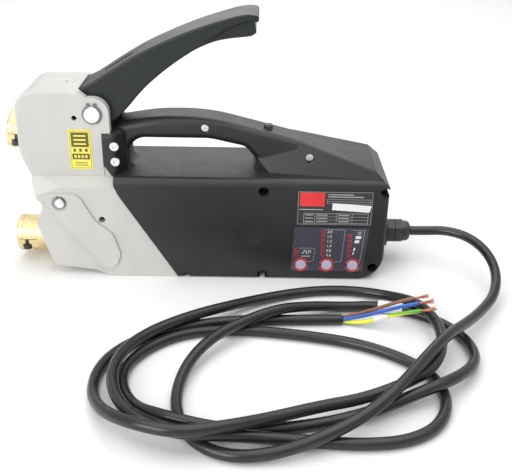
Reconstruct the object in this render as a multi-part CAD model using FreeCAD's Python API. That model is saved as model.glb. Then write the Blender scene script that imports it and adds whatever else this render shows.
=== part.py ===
"""Portable hand spot welder, standing on its flat underside.

Millimetres. +X runs along the machine from the electrode end (-X) to the cable gland (+X),
+Z is up, and y = 0 is the mid plane where the two body shells meet. The origin lies on the
underside. The machine is at rest with the squeeze lever open.
"""
import FreeCAD, Part
import math
import os

Vec = FreeCAD.Vector
X_AXIS = Vec(1, 0, 0)
Y_AXIS = Vec(0, 1, 0)
Z_AXIS = Vec(0, 0, 1)

# ---- body shells ------------------------------------------------------------------------
body_width = 100.0          # over both shells
body_rear_x = 176.0         # rear face
body_top_z = 111.0          # crown of the body, floor of the hand opening
ledge_drop = 8.0            # rounding from the side face up to the crown
rear_ledge_z = 109.0        # side ledge behind the hand opening
tail_radius = 28.0          # lower rear corner, seen from the side
underside_radius = 3.0
wall = 3.0                  # shell wall
split_low_x = -38.0         # where the sloping front edge of the shells meets the underside
split_high_x = -100.0       # front edge of the shells at the top
split_knee_z = 93.0
panel_gap = 0.25            # gap between fitted covers

# ---- handle -----------------------------------------------------------------------------
handle_width = 42.0
handle_top_z = 165.0
handle_fall = 0.2546         # slope of the handle's rear half
handle_round = 9.0
grip_round = 8.0
opening_front_x = -88.0
opening_rear_x = 43.0
opening_top_z = 142.0
hump_start_x = 84.0
hump_ridge_z = 141.45
hump_rear_x = 168.0
hump_rear_z = 117.0
hump_rear_half = 46.0
hump_round = 3.0            # rounding of the hump's outer ridges
hump_foot_in = 4.0          # foot of the hump's side face, in from the side of the body
arch_front_z = 157.0        # front end of the handle's ridge
column_front_x = -110.0
column_top_z = 153.6

# ---- head -------------------------------------------------------------------------------
hood_width = 72.0
hood_wall = 3.5
hood_top_z = 194.5
hood_front_x = -194.0
hood_rear_x = -102.0
hood_foot_z = 100.0         # the hood stands this deep inside the head base
base_width = 98.0
base_wall = 5.0
base_top_z = 108.0
base_shoulder_z = 100.0
base_crease_z = 88.0        # the front corners are cut back above this
cheek_raise = 2.0           # raised side cheek around the fulcrum
nose_recess = 3.5           # nose of the base, set back from the side face

# ---- mechanism --------------------------------------------------------------------------
lever_pin_x = -118.0
lever_pin_z = 172.0
lever_pin_r = 8.0
lever_travel = 33.0         # degrees from open to closed
fulcrum_x = -155.0
fulcrum_z = 83.5
fulcrum_pin_r = 5.0
jaw_travel = 8.0            # degrees that the upper jaw turns
crank_arm = 17.0            # lever pin to crank pin
link_pin_r = 4.0
jaw_pin_back = 12.0         # jaw pin stands this far behind the fulcrum
running_fit = 0.05          # radial clearance of a pin in its hole
open_pivot_fit = 0.9        # radial clearance at the jaw end of the link
circlip_thick = 1.0
circlip_over = 1.6
fulcrum_clip_over = 1.1

# ---- squeeze lever ----------------------------------------------------------------------
lever_width = 51.0
lever_sheet = 3.0
lever_rib_half = 21.0       # outer face of the inner ribs, from the mid plane

# ---- electrode holders ------------------------------------------------------------------
holder_r = 19.5
holder_bore_r = 10.0
holder_bore_depth = 46.0
holder_length = 52.0
upper_axis_z = 137.0        # with the lever closed
upper_front_x = -218.0      # with the lever closed
lower_axis_z = 25.0
lower_front_x = -214.0
clamp_slit = 2.0
clamp_screw_r = 3.0
jaw_width = 44.0

# ---- transformer ------------------------------------------------------------------------
core_front_x = -58.0
core_length = 98.0
core_depth = 52.0
core_low_z = 8.0
core_height = 84.0
core_leg = 15.0
coil_gap = 0.5
coil_build = 12.0
primary_height = 32.0
secondary_height = 14.0

# ---- controls ---------------------------------------------------------------------------
button_r = 5.5
button_travel = 0.8
button_z = 17.5
button_xs = (90.0, 117.0, 144.0)
led_r = 1.2
board_thick = 1.6
board_stand_off = 6.0       # board to the inside of the shell wall
overlay_thick = 0.5
plate_thick = 0.4
plunger_x = 54.0
plunger_r = 4.5
plunger_travel = 3.0
plunger_proud = 4.0

# ---- cable ------------------------------------------------------------------------------
gland_z = 34.0
gland_boss_r = 17.0
gland_boss_length = 8.0
gland_thread_r = 10.0
gland_hex_af = 24.0
gland_hex_length = 17.0
gland_dome_r = 11.0
gland_dome_length = 9.0
cord_d = 10.0
core_d = 3.6
strand_d = 2.2
floor_layer = cord_d / 2    # cable lying on the floor
second_layer = 15.6         # cable lying over one strand
third_layer = 26.2          # cable lying over two strands

# ---- fasteners --------------------------------------------------------------------------
screw_r = 2.0
screw_head_r = 3.8
screw_recess_r = 5.2
screw_fit = 0.1
post_r = 7.0
ear_screw_r = 2.5
ear_head_r = 4.4
side_handle_thread_r = 3.4
far = 400.0                 # larger than the machine, for cutting blocks

half = body_width / 2
handle_half = handle_width / 2
hood_half = hood_width / 2
base_half = base_width / 2
column_half = hood_half + panel_gap + wall
gland_boss_x = body_rear_x + gland_boss_length
gland_hex_x = gland_boss_x + gland_hex_length
gland_end_x = gland_hex_x + gland_dome_length


# ---- shape helpers ----------------------------------------------------------------------
def box(x0, x1, y0, y1, z0, z1):
    return Part.makeBox(x1 - x0, y1 - y0, z1 - z0, Vec(x0, y0, z0))


def rod_x(x0, x1, y, z, r):
    return Part.makeCylinder(r, x1 - x0, Vec(x0, y, z), X_AXIS)


def rod_y(y0, y1, x, z, r):
    return Part.makeCylinder(r, y1 - y0, Vec(x, y0, z), Y_AXIS)


def rod_z(z0, z1, x, y, r):
    return Part.makeCylinder(r, z1 - z0, Vec(x, y, z0), Z_AXIS)


def fuse(shapes):
    return shapes[0].multiFuse(shapes[1:]).removeSplitter()


def rounded_wire(corners, place):
    """Closed outline. A corner is (a, b) or (a, b, radius); place(a, b) gives the point."""
    count = len(corners)
    ends = []
    for i in range(count):
        corner = corners[i]
        point = place(corner[0], corner[1])
        radius = corner[2] if len(corner) > 2 else 0.0
        if radius == 0.0:
            ends.append((point, None, point))
            continue
        before = corners[i - 1]
        after = corners[(i + 1) % count]
        to_before = (place(before[0], before[1]) - point).normalize()
        to_after = (place(after[0], after[1]) - point).normalize()
        opening = to_before.getAngle(to_after)
        run = radius / math.tan(opening / 2)
        bisector = (to_before + to_after).normalize()
        middle = point + bisector * (radius / math.sin(opening / 2) - radius)
        ends.append((point + to_before * run, middle, point + to_after * run))
    edges = []
    for i in range(count):
        start, middle, finish = ends[i]
        if middle is not None:
            edges.append(Part.Arc(start, middle, finish).toShape())
        following = ends[(i + 1) % count][0]
        if finish.distanceToPoint(following) > 1e-6:
            edges.append(Part.LineSegment(finish, following).toShape())
    return Part.Wire(edges)


def side_plate(corners, y0, y1):
    """Solid with a side outline in x and z, from y0 to y1."""
    wire = rounded_wire(corners, lambda x, z: Vec(x, y0, z))
    return Part.Face(wire).extrude(Vec(0, y1 - y0, 0))


def plan_plate(corners, z0, z1):
    """Solid with a plan outline in x and y, from z0 to z1."""
    wire = rounded_wire(corners, lambda x, y: Vec(x, y, z0))
    return Part.Face(wire).extrude(Vec(0, 0, z1 - z0))


def front_plate(corners, x0, x1):
    """Solid with a front outline in y and z, from x0 to x1."""
    wire = rounded_wire(corners, lambda y, z: Vec(x0, y, z))
    return Part.Face(wire).extrude(Vec(x1 - x0, 0, 0))


def trim(shape, point, normal):
    """Cuts away everything on the side of a plane that its normal points to."""
    block = Part.makeBox(2 * far, 2 * far, far, Vec(-far, -far, 0))
    block.Placement = FreeCAD.Placement(point, FreeCAD.Rotation(Z_AXIS, normal))
    return shape.cut(block)


def edges_at(shape, test):
    """Edges whose ends and middle all pass the test."""
    found = []
    for edge in shape.Edges:
        points = [vertex.Point for vertex in edge.Vertexes]
        points.append(edge.valueAt((edge.FirstParameter + edge.LastParameter) / 2))
        if all(test(p) for p in points):
            found.append(edge)
    return found


def turned(shape, x, z, degrees):
    """A copy turned about the Y direction through (x, z)."""
    copy = shape.copy()
    copy.rotate(Vec(x, 0, z), Y_AXIS, degrees)
    return copy


def turned_point(px, pz, x, z, degrees):
    angle = math.radians(degrees)
    dx = px - x
    dz = pz - z
    return (x + dx * math.cos(angle) + dz * math.sin(angle), z - dx * math.sin(angle) + dz * math.cos(angle))


def mirrored(shape):
    return shape.mirror(Vec(0, 0, 0), Y_AXIS)


def both_sides(shape):
    return [shape, mirrored(shape)]


def save(name, shapes):
    if not isinstance(shapes, list):
        shapes = [shapes]
    solids = [solid for shape in shapes for solid in shape.Solids]
    result = solids[0] if len(solids) == 1 else Part.makeCompound(solids)
    valid = all(solid.isValid() for solid in solids)
    size = result.BoundBox
    print(f"{name:24s} solids {len(solids):2d} valid {valid} volume {result.Volume:10.1f} "
          f"x {size.XMin:7.1f} {size.XMax:7.1f} y {size.YMin:6.1f} {size.YMax:6.1f} z {size.ZMin:6.1f} {size.ZMax:6.1f}")
    result.exportStep(f"parts/{name}.step")
    return result


# ---- body shells ------------------------------------------------------------------------
def tub_form(inset):
    """Lower body, from the sloping front edge to the rounded tail. The inner form runs on
    past the front edge, so that the shells are open towards the head."""
    ahead = 0.0 if inset == 0 else 3 * inset
    top = body_top_z - inset
    corners = [
        (split_low_x - ahead, inset),
        (body_rear_x - inset, inset, tail_radius - inset),
        (body_rear_x - inset, top),
        (split_high_x - ahead, top),
        (split_high_x - ahead, split_knee_z + 10),
        (split_high_x + 4 - ahead, split_knee_z),
    ]
    side = half - inset
    tub = side_plate(corners, -side, side)
    upper = edges_at(tub, lambda p: abs(p.z - top) < 1e-3 and abs(abs(p.y) - side) < 1e-3)
    tub = tub.makeFillet(ledge_drop - inset, upper)
    if inset == 0:
        lower = edges_at(tub, lambda p: p.z < tail_radius + 1 and abs(abs(p.y) - side) < 1e-3
                         and p.x > split_low_x - 0.1 and p.x < body_rear_x - 0.1 or
                         abs(abs(p.y) - side) < 1e-3 and p.z < 1e-3)
        tub = tub.makeFillet(underside_radius, lower)
    return tub


def handle_form(inset):
    """Arched handle over the hand opening."""
    low = body_top_z - 10
    front = column_front_x + 2 + (-4 if inset else 0)
    rear = hump_start_x + 6 - inset
    arch = [
        (front, low),
        (front, arch_front_z - 1 - inset),
        (-58, handle_top_z - 0.5 - inset, 200),
        (-8, handle_top_z - inset, 200),
        (rear, handle_top_z - inset - handle_fall * (rear + 8)),
        (rear, low),
    ]
    side = handle_half - inset
    bar = side_plate(arch, -side, side)
    crown = edges_at(bar, lambda p: p.z > low + 15 and abs(abs(p.y) - side) < 1e-3)
    bar = bar.makeFillet(handle_round - inset, crown)
    grip = [
        (opening_front_x - inset, body_top_z - 0.5 - inset, 10),
        (opening_front_x - inset, opening_top_z + inset, 18 + inset),
        (-5, opening_top_z + inset, 60),
        (31 + inset / 2, 134 + inset, 14),
        (opening_rear_x + inset, 119, 6),
        (opening_rear_x + inset - 4, body_top_z - 0.5 - inset, 3),
    ]
    bar = bar.cut(side_plate(grip, -side - 1, side + 1))
    hand = edges_at(bar, lambda p: abs(abs(p.y) - side) < 1e-3 and low + 2 < p.z < opening_top_z + inset + 0.1
                    and opening_front_x - inset - 0.1 < p.x < opening_rear_x + inset + 0.1)
    return bar.makeFillet(grip_round - inset, hand)


def column_form(inset):
    """Front column of the handle. It is open to the front and takes the rear of the hood."""
    front = column_front_x + (-6 if inset else 0)
    side = column_half - inset
    rear = opening_front_x - 1 - inset
    corners = [
        (front, -side),
        (rear - 9, -side, 6),
        (rear, -handle_half + inset),
        (rear, handle_half - inset),
        (rear - 9, side, 6),
        (front, side),
    ]
    top = column_top_z - inset
    block = plan_plate(corners, body_top_z - 10, top)
    upper = edges_at(block, lambda p: abs(p.z - top) < 1e-3 and p.x > front + 0.1 and abs(p.y) > handle_half - inset + 0.1
                     or abs(p.z - top) < 1e-3 and abs(abs(p.y) - side) < 1e-3)
    return block.makeFillet(6 - inset, upper)


def rear_bevel(shape, inset):
    """Cuts the upper rear edge of the body back at 45 degrees."""
    back = inset * math.sqrt(0.5)
    return trim(shape, Vec(hump_rear_x - 4 - back, 0, hump_rear_z - back), Vec(1, 0, 1))


def hump_form(inset):
    """Faceted rear end of the handle, widening into the tail of the body."""
    side = half - inset
    ridge_slope = (hump_ridge_z - hump_rear_z) / (hump_rear_x - hump_start_x)
    block = box(opening_rear_x + 1 + inset, body_rear_x - inset, -side, side, body_top_z - 14, hump_ridge_z + 20)
    block = trim(block, Vec(hump_start_x, 0, hump_ridge_z - inset), Vec(ridge_slope, 0, 1))
    block = trim(block, Vec(hump_start_x, 0, hump_ridge_z - 0.05 - inset), Vec(handle_fall, 0, 1))
    for s in (-1, 1):
        corner = Vec(opening_rear_x + 1, s * handle_half, 0) - Vec(-2, s * 3, 0).normalize() * inset
        block = trim(block, corner, Vec(-2, s * 3, 0))
    along = Vec(hump_rear_x - hump_start_x, hump_rear_half - handle_half, hump_rear_z - hump_ridge_z - 1)
    down = Vec(0, half - hump_rear_half, rear_ledge_z - hump_rear_z)
    outward = along.cross(down)
    if outward.y < 0:
        outward = outward * -1
    foot = Vec(hump_rear_x, side - hump_foot_in, rear_ledge_z)
    block = trim(block, foot, outward)
    block = trim(block, Vec(foot.x, -foot.y, foot.z), Vec(outward.x, -outward.y, outward.z))
    if inset == 0:
        block = rear_bevel(block, 0)
        ridges = edges_at(block, lambda p: p.z > rear_ledge_z + 1 and p.x > opening_rear_x + 6
                          or p.z > rear_ledge_z + 2 and p.x > hump_start_x)
        block = block.makeFillet(hump_round, ridges)
    shelf = box(opening_rear_x + 1 + inset, body_rear_x - inset, -side, side, body_top_z - 14, rear_ledge_z - inset)
    long_edges = edges_at(shelf, lambda p: abs(p.z - rear_ledge_z + inset) < 1e-3 and abs(abs(p.y) - side) < 1e-3)
    return fuse([block, shelf.makeFillet(ledge_drop - 2 - inset, long_edges)])


def body_form(inset):
    """The whole body, bevelled at its upper rear edge."""
    return rear_bevel(fuse([tub_form(inset), handle_form(inset), column_form(inset), hump_form(inset)]), inset)


shell_screw_places = ((50.0, 99.5), (172.0, 99.5), (50.0, 4.4), (165.0, 14.5))
handle_screw_places = ((-10.0, 153.5), (96.0, 126.0))
drain_notch_x = -30.0
ear_screw_places = ((-98.0, 141.0), (-98.0, 125.0))
dimple_place = (39.0, 53.0)
dimple_r = 13.5
dimple_depth = 1.6


def hump_half_at(x, z):
    """Half width of the faceted hump at a place on its side."""
    along = Vec(hump_rear_x - hump_start_x, hump_rear_half - handle_half, hump_rear_z - hump_ridge_z - 1)
    outward = along.cross(Vec(0, half - hump_rear_half, rear_ledge_z - hump_rear_z))
    return half - hump_foot_in - (outward.x * (x - hump_rear_x) + outward.z * (z - rear_ledge_z)) / outward.y


def half_at(x, z):
    """Half width of the body where a screw goes through it."""
    if z < body_top_z:
        return half
    return handle_half if x < opening_rear_x else hump_half_at(x, z)


def screw_seat(x, z):
    """How far from the mid plane the screw head's seat lies."""
    outside = half_at(x, z)
    return outside - (16.0 if outside == half else 6.0)


def shells():
    outer = body_form(0)
    boss = rod_x(body_rear_x - wall, gland_boss_x, 0, gland_z, gland_boss_r)
    outer = fuse([outer, boss])
    cavity = body_form(wall)
    shell = outer.cut(cavity)
    posts = []
    for x, z in shell_screw_places + handle_screw_places:
        reach = half_at(x, z) - 1.0
        posts.append(rod_y(-reach, reach, x, z, post_r if z < body_top_z else post_r - 2).common(outer))
    shell = fuse([shell] + posts)
    cuts = [rod_x(body_rear_x - 3 * wall, gland_boss_x + 1, 0, gland_z, gland_thread_r + running_fit)]
    for x, z in shell_screw_places + handle_screw_places:
        seat = screw_seat(x, z)
        cuts.append(rod_y(-far / 4, -seat, x, z, screw_recess_r if z < body_top_z else screw_head_r + 0.7))
        cuts.append(rod_y(-seat - 1, seat, x, z, screw_r + screw_fit))
    for x, z in ear_screw_places:
        cuts.append(rod_y(-column_half - 1, column_half + 1, x, z, ear_screw_r + screw_fit))
    dish_r = (dimple_r ** 2 + dimple_depth ** 2) / (2 * dimple_depth)
    cuts.append(Part.makeSphere(dish_r, Vec(dimple_place[0], -half - dish_r + dimple_depth, dimple_place[1])))
    cuts.append(mirrored(cuts[-1]))
    for x in button_xs:
        cuts.append(rod_y(-half - 1, -half + wall + 1, x, button_z, button_r + 0.3))
    for x, z in led_places():
        cuts.append(rod_y(-half - 1, -half + wall + 1, x, z, led_r + 0.15))
    cuts.append(rod_z(handle_top_z - 40, handle_top_z + 20, plunger_x, 0, plunger_r + 0.15))
    cuts.append(rod_y(-half - 1, -half + 2 * wall, drain_notch_x, 1.5, 3.5))
    hood_room = hood_half + panel_gap
    cuts.append(box(column_front_x - 5, hood_rear_x + panel_gap, -hood_room, hood_room, hood_foot_z - 5, far))
    cuts.append(side_plate([
        (column_front_x - 5, base_top_z + 20),
        (split_high_x - 2, base_top_z + 2 * panel_gap),
        (split_high_x, base_top_z + 2 * panel_gap),
        (split_high_x, hood_foot_z - 5),
        (column_front_x - 5, hood_foot_z - 5),
    ], -half, half))
    shell = shell.cut(cuts[0].multiFuse(cuts[1:]))
    left = shell.common(box(-far, far, 0, far, -far, far))
    right = shell.common(box(-far, far, -far, 0, -far, far))
    return left, right


def led_places():
    """Three columns of small lamps beside the buttons."""
    places = [(85.0, 29.0), (85.0, 34.0)]
    places += [(112.0, 29.0 + 5.4 * i) for i in range(6)]
    places += [(139.5, 29.0 + 5.6 * i) for i in range(5)]
    return places


# ---- head -------------------------------------------------------------------------------
def hood_outline(inset):
    return [
        (hood_rear_x - inset, hood_foot_z - inset * 2),
        (hood_rear_x - inset, lever_pin_z + 16 - inset, 15 - inset),
        (-123, lever_pin_z + 16 - inset),
        (-131, hood_top_z - inset, 4),
        (hood_front_x + inset, hood_top_z - inset, 22 - inset),
        (hood_front_x + inset, 130 - inset / 2, 30),
        (-175 + inset, 80 - inset),
        (-170 + inset, 78 - inset),
        (-170 + inset, hood_foot_z - inset * 2),
    ]


def head_hood():
    side = hood_half
    outer = side_plate(hood_outline(0), -side, side)
    rim = edges_at(outer, lambda p: abs(abs(p.y) - side) < 1e-3 and p.z > 150 and p.x < -125)
    outer = outer.makeFillet(3.0, rim)
    beads = [rod_z(base_top_z + panel_gap, column_top_z - 0.5, column_front_x - 1, s * side, 0.8) for s in (-1, 1)]
    outer = fuse([outer] + beads)
    inner = side_plate(hood_outline(hood_wall), -side + hood_wall, side - hood_wall)
    mouth_half = holder_r + 3.5
    mouth = front_plate([(-mouth_half, 112, 16), (mouth_half, 112, 16), (mouth_half, 168, 18), (-mouth_half, 168, 18)],
                        hood_front_x - 5, hood_front_x + 12)
    lever_slot = box(-132, hood_rear_x + 5, -lever_width / 2 - 1.5, lever_width / 2 + 1.5, 148, hood_top_z + 10)
    cable_way = box(hood_rear_x - 8, hood_rear_x + 5, -24, 24, hood_foot_z - 20, 140)
    foot = box(-171, hood_rear_x - 8, -side + hood_wall, side - hood_wall, 70, hood_foot_z + 6)
    nose = box(-200, -165, -side + 8, side - 8, 70, 120)
    pin_hole = rod_y(-side - 1, side + 1, lever_pin_x, lever_pin_z, lever_pin_r + running_fit)
    side_hole = rod_y(-side - 1, side + 1, -136, 168, 2.6)
    top_hole = rod_z(hood_top_z - 8, hood_top_z + 1, -148, 0, 1.5)
    return outer.cut(inner.multiFuse([mouth, lever_slot, cable_way, foot, nose, pin_hole, side_hole, top_hole]))


def base_outline(inset):
    return [
        (split_high_x - panel_gap, base_top_z - inset),
        (split_high_x - panel_gap, split_knee_z + 10),
        (split_high_x + 4 - panel_gap, split_knee_z),
        (split_low_x - panel_gap, inset),
        (-114, inset, 6),
        (-126, 5 + inset, 10),
        (-168 + inset, 10 + inset, 7),
        (-182 + inset, 57, 9),
        (-174 + inset, 77, 6),
        (-184 + inset, base_shoulder_z + 1, 4),
        (-184 + inset, base_top_z - inset),
    ]


def cheek_outline():
    """Raised cheek, shaped like a bent arm from the fulcrum down to the underside."""
    return [
        (-171, 93.5, 4),
        (-136, 93, 12),
        (-121, 64, 20),
        (-104, 50, 14),
        (-97, 27, 12),
        (-102, 12, 8),
        (-116, 10, 5),
        (-121, 21, 5),
        (-166, 77, 6),
    ]


def head_base():
    side = base_half
    outer = side_plate(base_outline(0), -side, side)
    outer = trim(outer, Vec(0, side, base_shoulder_z), Vec(0, base_top_z - base_shoulder_z, side - hood_half))
    outer = trim(outer, Vec(0, -side, base_shoulder_z), Vec(0, base_shoulder_z - base_top_z, side - hood_half))
    crease = Vec(-(base_top_z - base_crease_z) * 12, 16 * 49, 12 * 49)
    outer = trim(outer, Vec(-184, side, base_crease_z), crease)
    outer = trim(outer, Vec(-184, -side, base_crease_z), Vec(crease.x, -crease.y, crease.z))
    nose_cut = side_plate([(-250, -10), (-110, -10), (-116, 10, 5), (-121, 21, 5), (-166, 77, 6), (-171, 84), (-250, 84)],
                          side - nose_recess, side + 5)
    cheek = side_plate(cheek_outline(), side - 3, side + cheek_raise)
    cheek = cheek.common(side_plate(base_outline(0), side - 3, side + cheek_raise))
    outer = fuse([outer] + both_sides(cheek))
    for cut in both_sides(nose_cut):
        outer = outer.cut(cut)
    inner_side = side - nose_recess - base_wall
    inner_corners = [
        (split_low_x + 20, base_wall),
        (-114, base_wall, 3),
        (-126, 5 + base_wall, 4),
        (-195, 10 + base_wall),
        (-195, 76),
        (-167, 80),
        (-167, base_shoulder_z - 6),
        (split_high_x + 20, base_shoulder_z - 6),
    ]
    inner = side_plate(inner_corners, -inner_side, inner_side)
    seat = box(-190, hood_rear_x + 3, -hood_half - panel_gap, hood_half + panel_gap, hood_foot_z - panel_gap, base_top_z + 5)
    throat = box(-200, -158, -inner_side, inner_side, -1, fulcrum_z - 12)
    mouth = box(-200, -166, -hood_half - panel_gap, hood_half + panel_gap, fulcrum_z - 13, base_top_z)
    deck = box(-173, split_high_x + 1, -hood_half + hood_wall, hood_half - hood_wall, base_shoulder_z - 12, base_top_z)
    pin_hole = rod_y(-far / 2, far / 2, fulcrum_x, fulcrum_z, fulcrum_pin_r + running_fit)
    handle_hole = rod_y(-far / 2, 0, -114, 65, side_handle_thread_r)
    counter = rod_y(side + cheek_raise - 1.5, side + 5, fulcrum_x, fulcrum_z, fulcrum_pin_r + fulcrum_clip_over + 1.8)
    cuts = inner.multiFuse([seat, throat, mouth, deck, pin_hole, handle_hole] + both_sides(counter))
    return outer.cut(cuts)


def pin_with_ends(x, z, r, reach):
    """Plain pin, chamfered at both ends."""
    pin = rod_y(-reach, reach, x, z, r)
    return pin.makeChamfer(0.6, edges_at(pin, lambda p: abs(abs(p.y) - reach) < 1e-3))


def circlip(x, z, pin_r, over, y0):
    """Open retaining ring with two ears, upright."""
    ear = 0.2 * pin_r
    ring = rod_y(y0, y0 + circlip_thick, x, z, pin_r + over)
    ears = [box(x + (2 * s - 1) * ear, x + (2 * s + 1) * ear, y0, y0 + circlip_thick, z + pin_r - 1, z + pin_r + over + ear)
            for s in (-1, 1)]
    ring = fuse([ring] + ears)
    gap = box(x - 0.8 * ear, x + 0.8 * ear, y0 - 1, y0 + 2, z, z + pin_r + 10)
    return ring.cut(rod_y(y0 - 1, y0 + 2, x, z, pin_r + running_fit)).cut(gap)


# ---- electrode holders and jaws ---------------------------------------------------------
def holder(front_x, axis_z):
    """Brass collar with a blind bore for a round arm, slit so that a screw can clamp it."""
    body = rod_x(front_x, front_x + holder_length, 0, axis_z, holder_r)
    rim = edges_at(body, lambda p: abs(p.x - front_x) < 1e-3)
    body = body.makeChamfer(1.2, rim)
    bore = rod_x(front_x - 1, front_x + holder_bore_depth, 0, axis_z, holder_bore_r)
    slit = box(front_x - 1, front_x + 22, -holder_r - 1, 0, axis_z - clamp_slit / 2, axis_z + clamp_slit / 2)
    screw_y = -holder_bore_r - 4.6
    hole = rod_z(axis_z - holder_r - 1, axis_z + 9, front_x + 10, screw_y, clamp_screw_r + running_fit)
    head_room = rod_z(axis_z - holder_r - 1, axis_z - 6, front_x + 10, screw_y, clamp_screw_r + 2.2)
    flat = box(front_x - 1, front_x + 22, -holder_r - 1, -holder_r + 2.6, axis_z - holder_r - 1, axis_z - clamp_slit / 2)
    groove = rod_x(front_x + 6, front_x + 7.2, 0, axis_z, holder_r + 1).cut(
        rod_x(front_x + 5, front_x + 8, 0, axis_z, holder_r - 0.6))
    return body.cut(bore).cut(slit).cut(flat).cut(hole).cut(head_room).cut(groove)


def clamp_screw(front_x, axis_z):
    """Socket screw across the slit."""
    screw_y = -holder_bore_r - 4.6
    x = front_x + 10
    head = rod_z(axis_z - 11.5, axis_z - 6.2, x, screw_y, clamp_screw_r + 1.9)
    shank = rod_z(axis_z - 6.3, axis_z + 8.5, x, screw_y, clamp_screw_r)
    socket = rod_z(axis_z - 12, axis_z - 8.5, x, screw_y, 2.1)
    return fuse([head, shank]).cut(socket)


def jaw_pin_height():
    """Height of the jaw pin over the fulcrum, from the two travels."""
    reach = crank_arm * math.sin(math.radians(lever_travel / 2)) / math.sin(math.radians(jaw_travel / 2))
    return math.sqrt(reach ** 2 - jaw_pin_back ** 2)


jaw_pin_x = fulcrum_x + jaw_pin_back
jaw_pin_z = fulcrum_z + jaw_pin_height()
crank_pin_x = lever_pin_x + crank_arm * math.sin(math.radians(lever_travel / 2))
crank_pin_z = lever_pin_z - crank_arm * math.cos(math.radians(lever_travel / 2))


def upper_jaw():
    """Rocking jaw that carries the upper holder, drawn open."""
    back = upper_front_x + holder_length
    block = side_plate([
        (fulcrum_x - 12, fulcrum_z - 11, 9),
        (fulcrum_x + 12, fulcrum_z - 11, 9),
        (fulcrum_x + 13, upper_axis_z - 10, 6),
        (fulcrum_x + 13, upper_axis_z + 4, 4),
        (back + 6, upper_axis_z + holder_r + 5, 5),
        (back - 18, upper_axis_z + holder_r + 5, 5),
        (back - 18, upper_axis_z - holder_r - 4, 5),
        (fulcrum_x - 12, upper_axis_z - holder_r - 14, 6),
    ], -jaw_width / 2, jaw_width / 2)
    bore = rod_x(back - 30, back + 0.1, 0, upper_axis_z, holder_r + running_fit)
    jaw = turned(block.cut(bore), fulcrum_x, fulcrum_z, jaw_travel)
    lug = fuse([
        rod_y(-6, 6, jaw_pin_x, jaw_pin_z, link_pin_r + 4),
        box(jaw_pin_x - 11, jaw_pin_x, -6, 6, jaw_pin_z - 12, jaw_pin_z + link_pin_r + 4),
    ])
    pocket = box(jaw_pin_x - 11, jaw_pin_x + 30, -jaw_width, -6.05, jaw_pin_z - 11, jaw_pin_z + 40)
    jaw = jaw.cut(pocket).cut(mirrored(pocket))
    jaw = fuse([jaw, lug])
    jaw = jaw.cut(rod_y(-far / 4, far / 4, fulcrum_x, fulcrum_z, fulcrum_pin_r + running_fit))
    return jaw.cut(rod_y(-far / 4, far / 4, jaw_pin_x, jaw_pin_z, link_pin_r + running_fit))


def lower_jaw():
    """Fixed jaw block that carries the lower holder."""
    back = lower_front_x + holder_length
    block = side_plate([
        (back - 20, lower_axis_z - holder_r + 12, 3),
        (back - 14, lower_axis_z - holder_r + 9),
        (back + 34, lower_axis_z - holder_r + 9, 4),
        (back + 34, lower_axis_z + holder_r + 7, 6),
        (back - 20, lower_axis_z + holder_r + 7, 4),
    ], -jaw_width / 2, jaw_width / 2)
    bore = rod_x(back - 30, back + 0.1, 0, lower_axis_z, holder_r + running_fit)
    relief = box(back - 40, back + 0.1, -holder_r * 0.75, holder_r * 0.75, -5, lower_axis_z)
    bolt = rod_z(lower_axis_z + 2, lower_axis_z + holder_r + 10, back + 22, 0, 4.0 + running_fit)
    return block.cut(bore).cut(relief).cut(bolt)


# ---- lever and drive --------------------------------------------------------------------
lever_top = ((-1, 28), (23, 43.5), (49, 59), (82, 74), (108, 84), (124, 89), (141, 94), (151, 95.3))
lever_flange = ((153, 88.8), (133.7, 82.8), (118.6, 73.3), (103.4, 63.7), (76.3, 46), (50.3, 24.1), (31.5, 1.7), (14, -15))
lever_rib_foot = ((154.0, 74.6), (146.8, 73.6), (133.5, 72.2), (118.3, 69.1), (103, 62.5), (86, 52.5))
lip_x = 153.5               # inner face of the lip, from the pin
rib_start_x = 84.0


def eased(points):
    """Run of corners, each rounded as far as its two runs allow. The two ends stay sharp."""
    corners = [points[0]]
    for before, corner, after in zip(points, points[1:], points[2:]):
        back = Vec(before[0] - corner[0], before[1] - corner[1], 0)
        ahead = Vec(after[0] - corner[0], after[1] - corner[1], 0)
        run = 0.45 * min(back.Length, ahead.Length)
        corners.append((corner[0], corner[1], run * math.tan(back.getAngle(ahead) / 2)))
    return corners + [points[-1]]


def from_pin(corners, drop=0.0):
    """Corners measured from the lever pin, as places on the machine."""
    return [(lever_pin_x + c[0], lever_pin_z + c[1] - drop) + tuple(c[2:]) for c in corners]


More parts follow.
